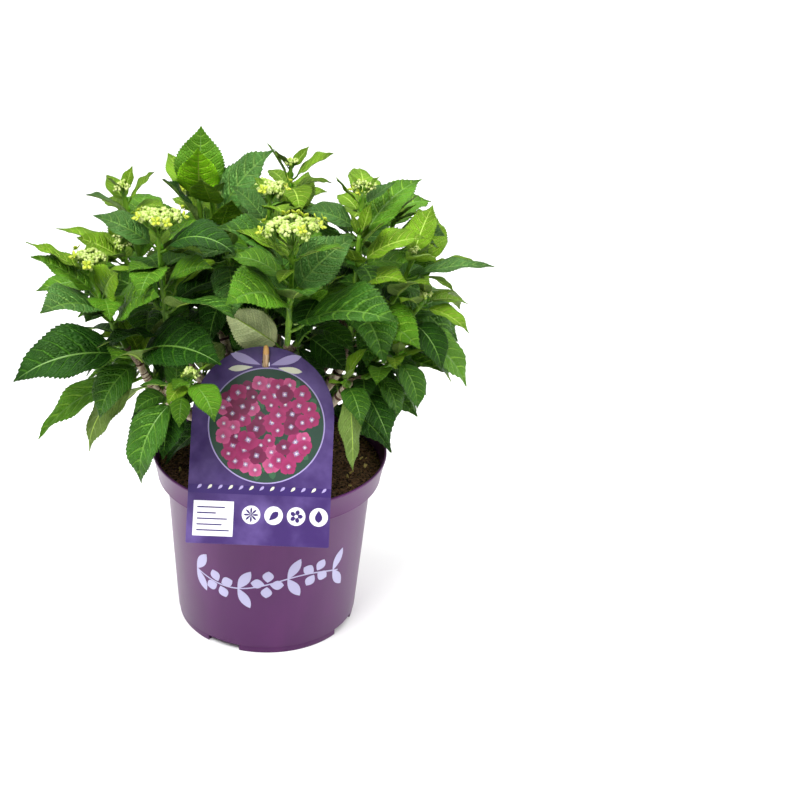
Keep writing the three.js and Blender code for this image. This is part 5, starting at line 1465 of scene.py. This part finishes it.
# Four signs: a sun, a leaf, a flower and a drop
sun, leaf_sign, flower, drop = SIGNS
for x in SIGNS:
    disc(x, SIGN_HEIGHT, SIGN_RADIUS, PANEL_INK, WHITE, 48)
for number in range(8):
    petal(sun, SIGN_HEIGHT, number * math.pi / 4, 6, 1.6, MARK_INK, DEEP)
petal(leaf_sign - 3.5, SIGN_HEIGHT - 4, math.pi / 4, 10, 5.2, MARK_INK, DEEP)
for number in range(5):
    petal(flower, SIGN_HEIGHT, number * 2 * math.pi / 5, 5.4, 3.4, MARK_INK + 0.005 * number, DEEP)
disc(flower, SIGN_HEIGHT, 1.4, 0.2, WHITE, 16)
petal(drop, SIGN_HEIGHT + 5.5, -math.pi / 2, 10, 6, MARK_INK, DEEP)

block(PANEL_LEFT, PANEL_LOW, PANEL_RIGHT, PANEL_HIGH, PANEL_INK, WHITE)
for number, length in enumerate(LINES):
    low = LINE_LOW + LINE_STEP * number
    block(LINE_LEFT, low, LINE_LEFT + length, low + LINE_WIDTH, SIGN_INK, DEEP)
for side in (-1, 1):
    petal(side * 4, 145, math.pi / 2 - side * 1.25, 26, 7, PICTURE_INK, LILAC)
    petal(side * 10, 143, math.pi / 2 - side * 1.7, 20, 5, 0.14, CREAM)
finish_piece(prints.make("label_print", False), "label")

# Stick: a round peg turned from pale wood along its grain, with a blunt golden tip. It stands in the soil and comes
# out through the slot of the label, which it holds up.

PEG_LEAN, PEG_BEYOND_LABEL, PEG_SIDES, PEG_TIP_STEPS = math.radians(4), 0.015, 24, 6
# Share of the peg's length, radius in millimetres
PEG_ROWS = [
    (0, 2.5), (0.03, 2.5), (0.25, 2.5), (0.5, 2.5), (0.75, 2.5), (0.9, 2.5), (0.935, 2.5), (0.94, 2.45),
    (0.96, 2.4), (0.975, 2.25), (0.985, 1.95), (0.993, 1.5), (0.998, 1.0), (1, 0.5),
]

peg_wood, tree, shader = new_material("peg_wood", (0.50, 0.32, 0.16), 0.55)
grain = spread_node(tree, noise_node(tree, 500, 4, (1, 1, 0.06)), 0.35, 0.65)
paint(tree, shader, blend_node(tree, grain, (0.36, 0.21, 0.10), (0.66, 0.45, 0.25)))
peg_tip = new_material("peg_tip", (0.62, 0.34, 0.10), 0.4)[0]
peg_along = Vector((0, -math.sin(PEG_LEAN), math.cos(PEG_LEAN)))
peg_top = on_label(0, SLOT_HEIGHT, -LABEL_THICKNESS) + peg_along * PEG_BEYOND_LABEL
peg_length = (peg_top.z - GROUND) / peg_along.z
peg = Builder([peg_wood, peg_tip])
centres = [peg_top - peg_along * peg_length * (1 - share) for share, radius in PEG_ROWS]
slots = [0] * (len(PEG_ROWS) - 1 - PEG_TIP_STEPS) + [1] * PEG_TIP_STEPS
peg.tube(centres, [radius * MM for share, radius in PEG_ROWS], PEG_SIDES, slots)
finish_piece(peg.make("label_peg"), "stick", "label_stick")

# Studio: a plain pale floor, a white surround, and soft panels of light. The camera stands before the pot,
# looks down on it and is turned a little, as in the photograph.

FLOOR_HALF = 6
corners = [(-FLOOR_HALF, -FLOOR_HALF), (FLOOR_HALF, -FLOOR_HALF), (FLOOR_HALF, FLOOR_HALF), (-FLOOR_HALF, FLOOR_HALF)]
floor = link("floor", bpy.data.meshes.new("floor"))
floor.data.from_pydata([(x, y, 0) for x, y in corners], [], [(0, 1, 2, 3)])
floor.data.materials.append(new_material("floor", (0.93, 0.93, 0.93), 0.7)[0])
floor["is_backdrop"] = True

world = bpy.data.worlds.new("studio")
bpy.context.scene.world = world
world.use_nodes = True
world.node_tree.nodes["Background"].inputs["Color"].default_value = (1, 1, 1, 1)
world.node_tree.nodes["Background"].inputs["Strength"].default_value = 0.22
bpy.context.scene.view_settings.view_transform = "Standard"

# Where each panel stands, what it points at, its width and its power: a wide ceiling, one on each side, a front one
PANELS = [
    ((0.2, 1.2, 3.4), (0, 1.2, 0), 7.5, 300),
    ((2.1, 0.1, 1.0), (0, 0, 0.2), 1.4, 28),
    ((-2.3, -0.3, 1.2), (0, 0, 0.2), 1.2, 14),
    ((-0.9, -1.2, 2.4), (0, 0, 0.2), 1.3, 76),
]
for number, (spot, aim, width, power) in enumerate(PANELS):
    lamp = bpy.data.lights.new("panel", "AREA")
    lamp.size = width
    lamp.energy = power
    light = link("panel_%d" % number, lamp)
    light.location = spot
    light.rotation_euler = (Vector(aim) - Vector(spot)).to_track_quat("-Z", "Y").to_euler()

PITCH, YAW, ROLL = math.radians(27.008), math.radians(5.264), math.radians(3.646)
CAMERA_PLACE, LENS, SENSOR = (0, -1.1819, 0.8123), 70.6, 36
camera = link("camera", bpy.data.cameras.new("camera"))
ahead = Vector((math.sin(YAW) * math.cos(PITCH), math.cos(YAW) * math.cos(PITCH), -math.sin(PITCH)))
right = Vector((math.cos(YAW), -math.sin(YAW), 0))
upward = right.cross(ahead)
turned_right = right * math.cos(ROLL) + upward * math.sin(ROLL)
turned_up = upward * math.cos(ROLL) - right * math.sin(ROLL)
camera.matrix_world = Matrix((turned_right, turned_up, -ahead)).transposed().to_4x4()
camera.location = CAMERA_PLACE
camera.data.lens = LENS
camera.data.sensor_width = SENSOR
bpy.context.scene.camera = camera

size = {"cad": [list(cad_low), list(cad_high)], "visual": [list(corner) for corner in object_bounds()]}
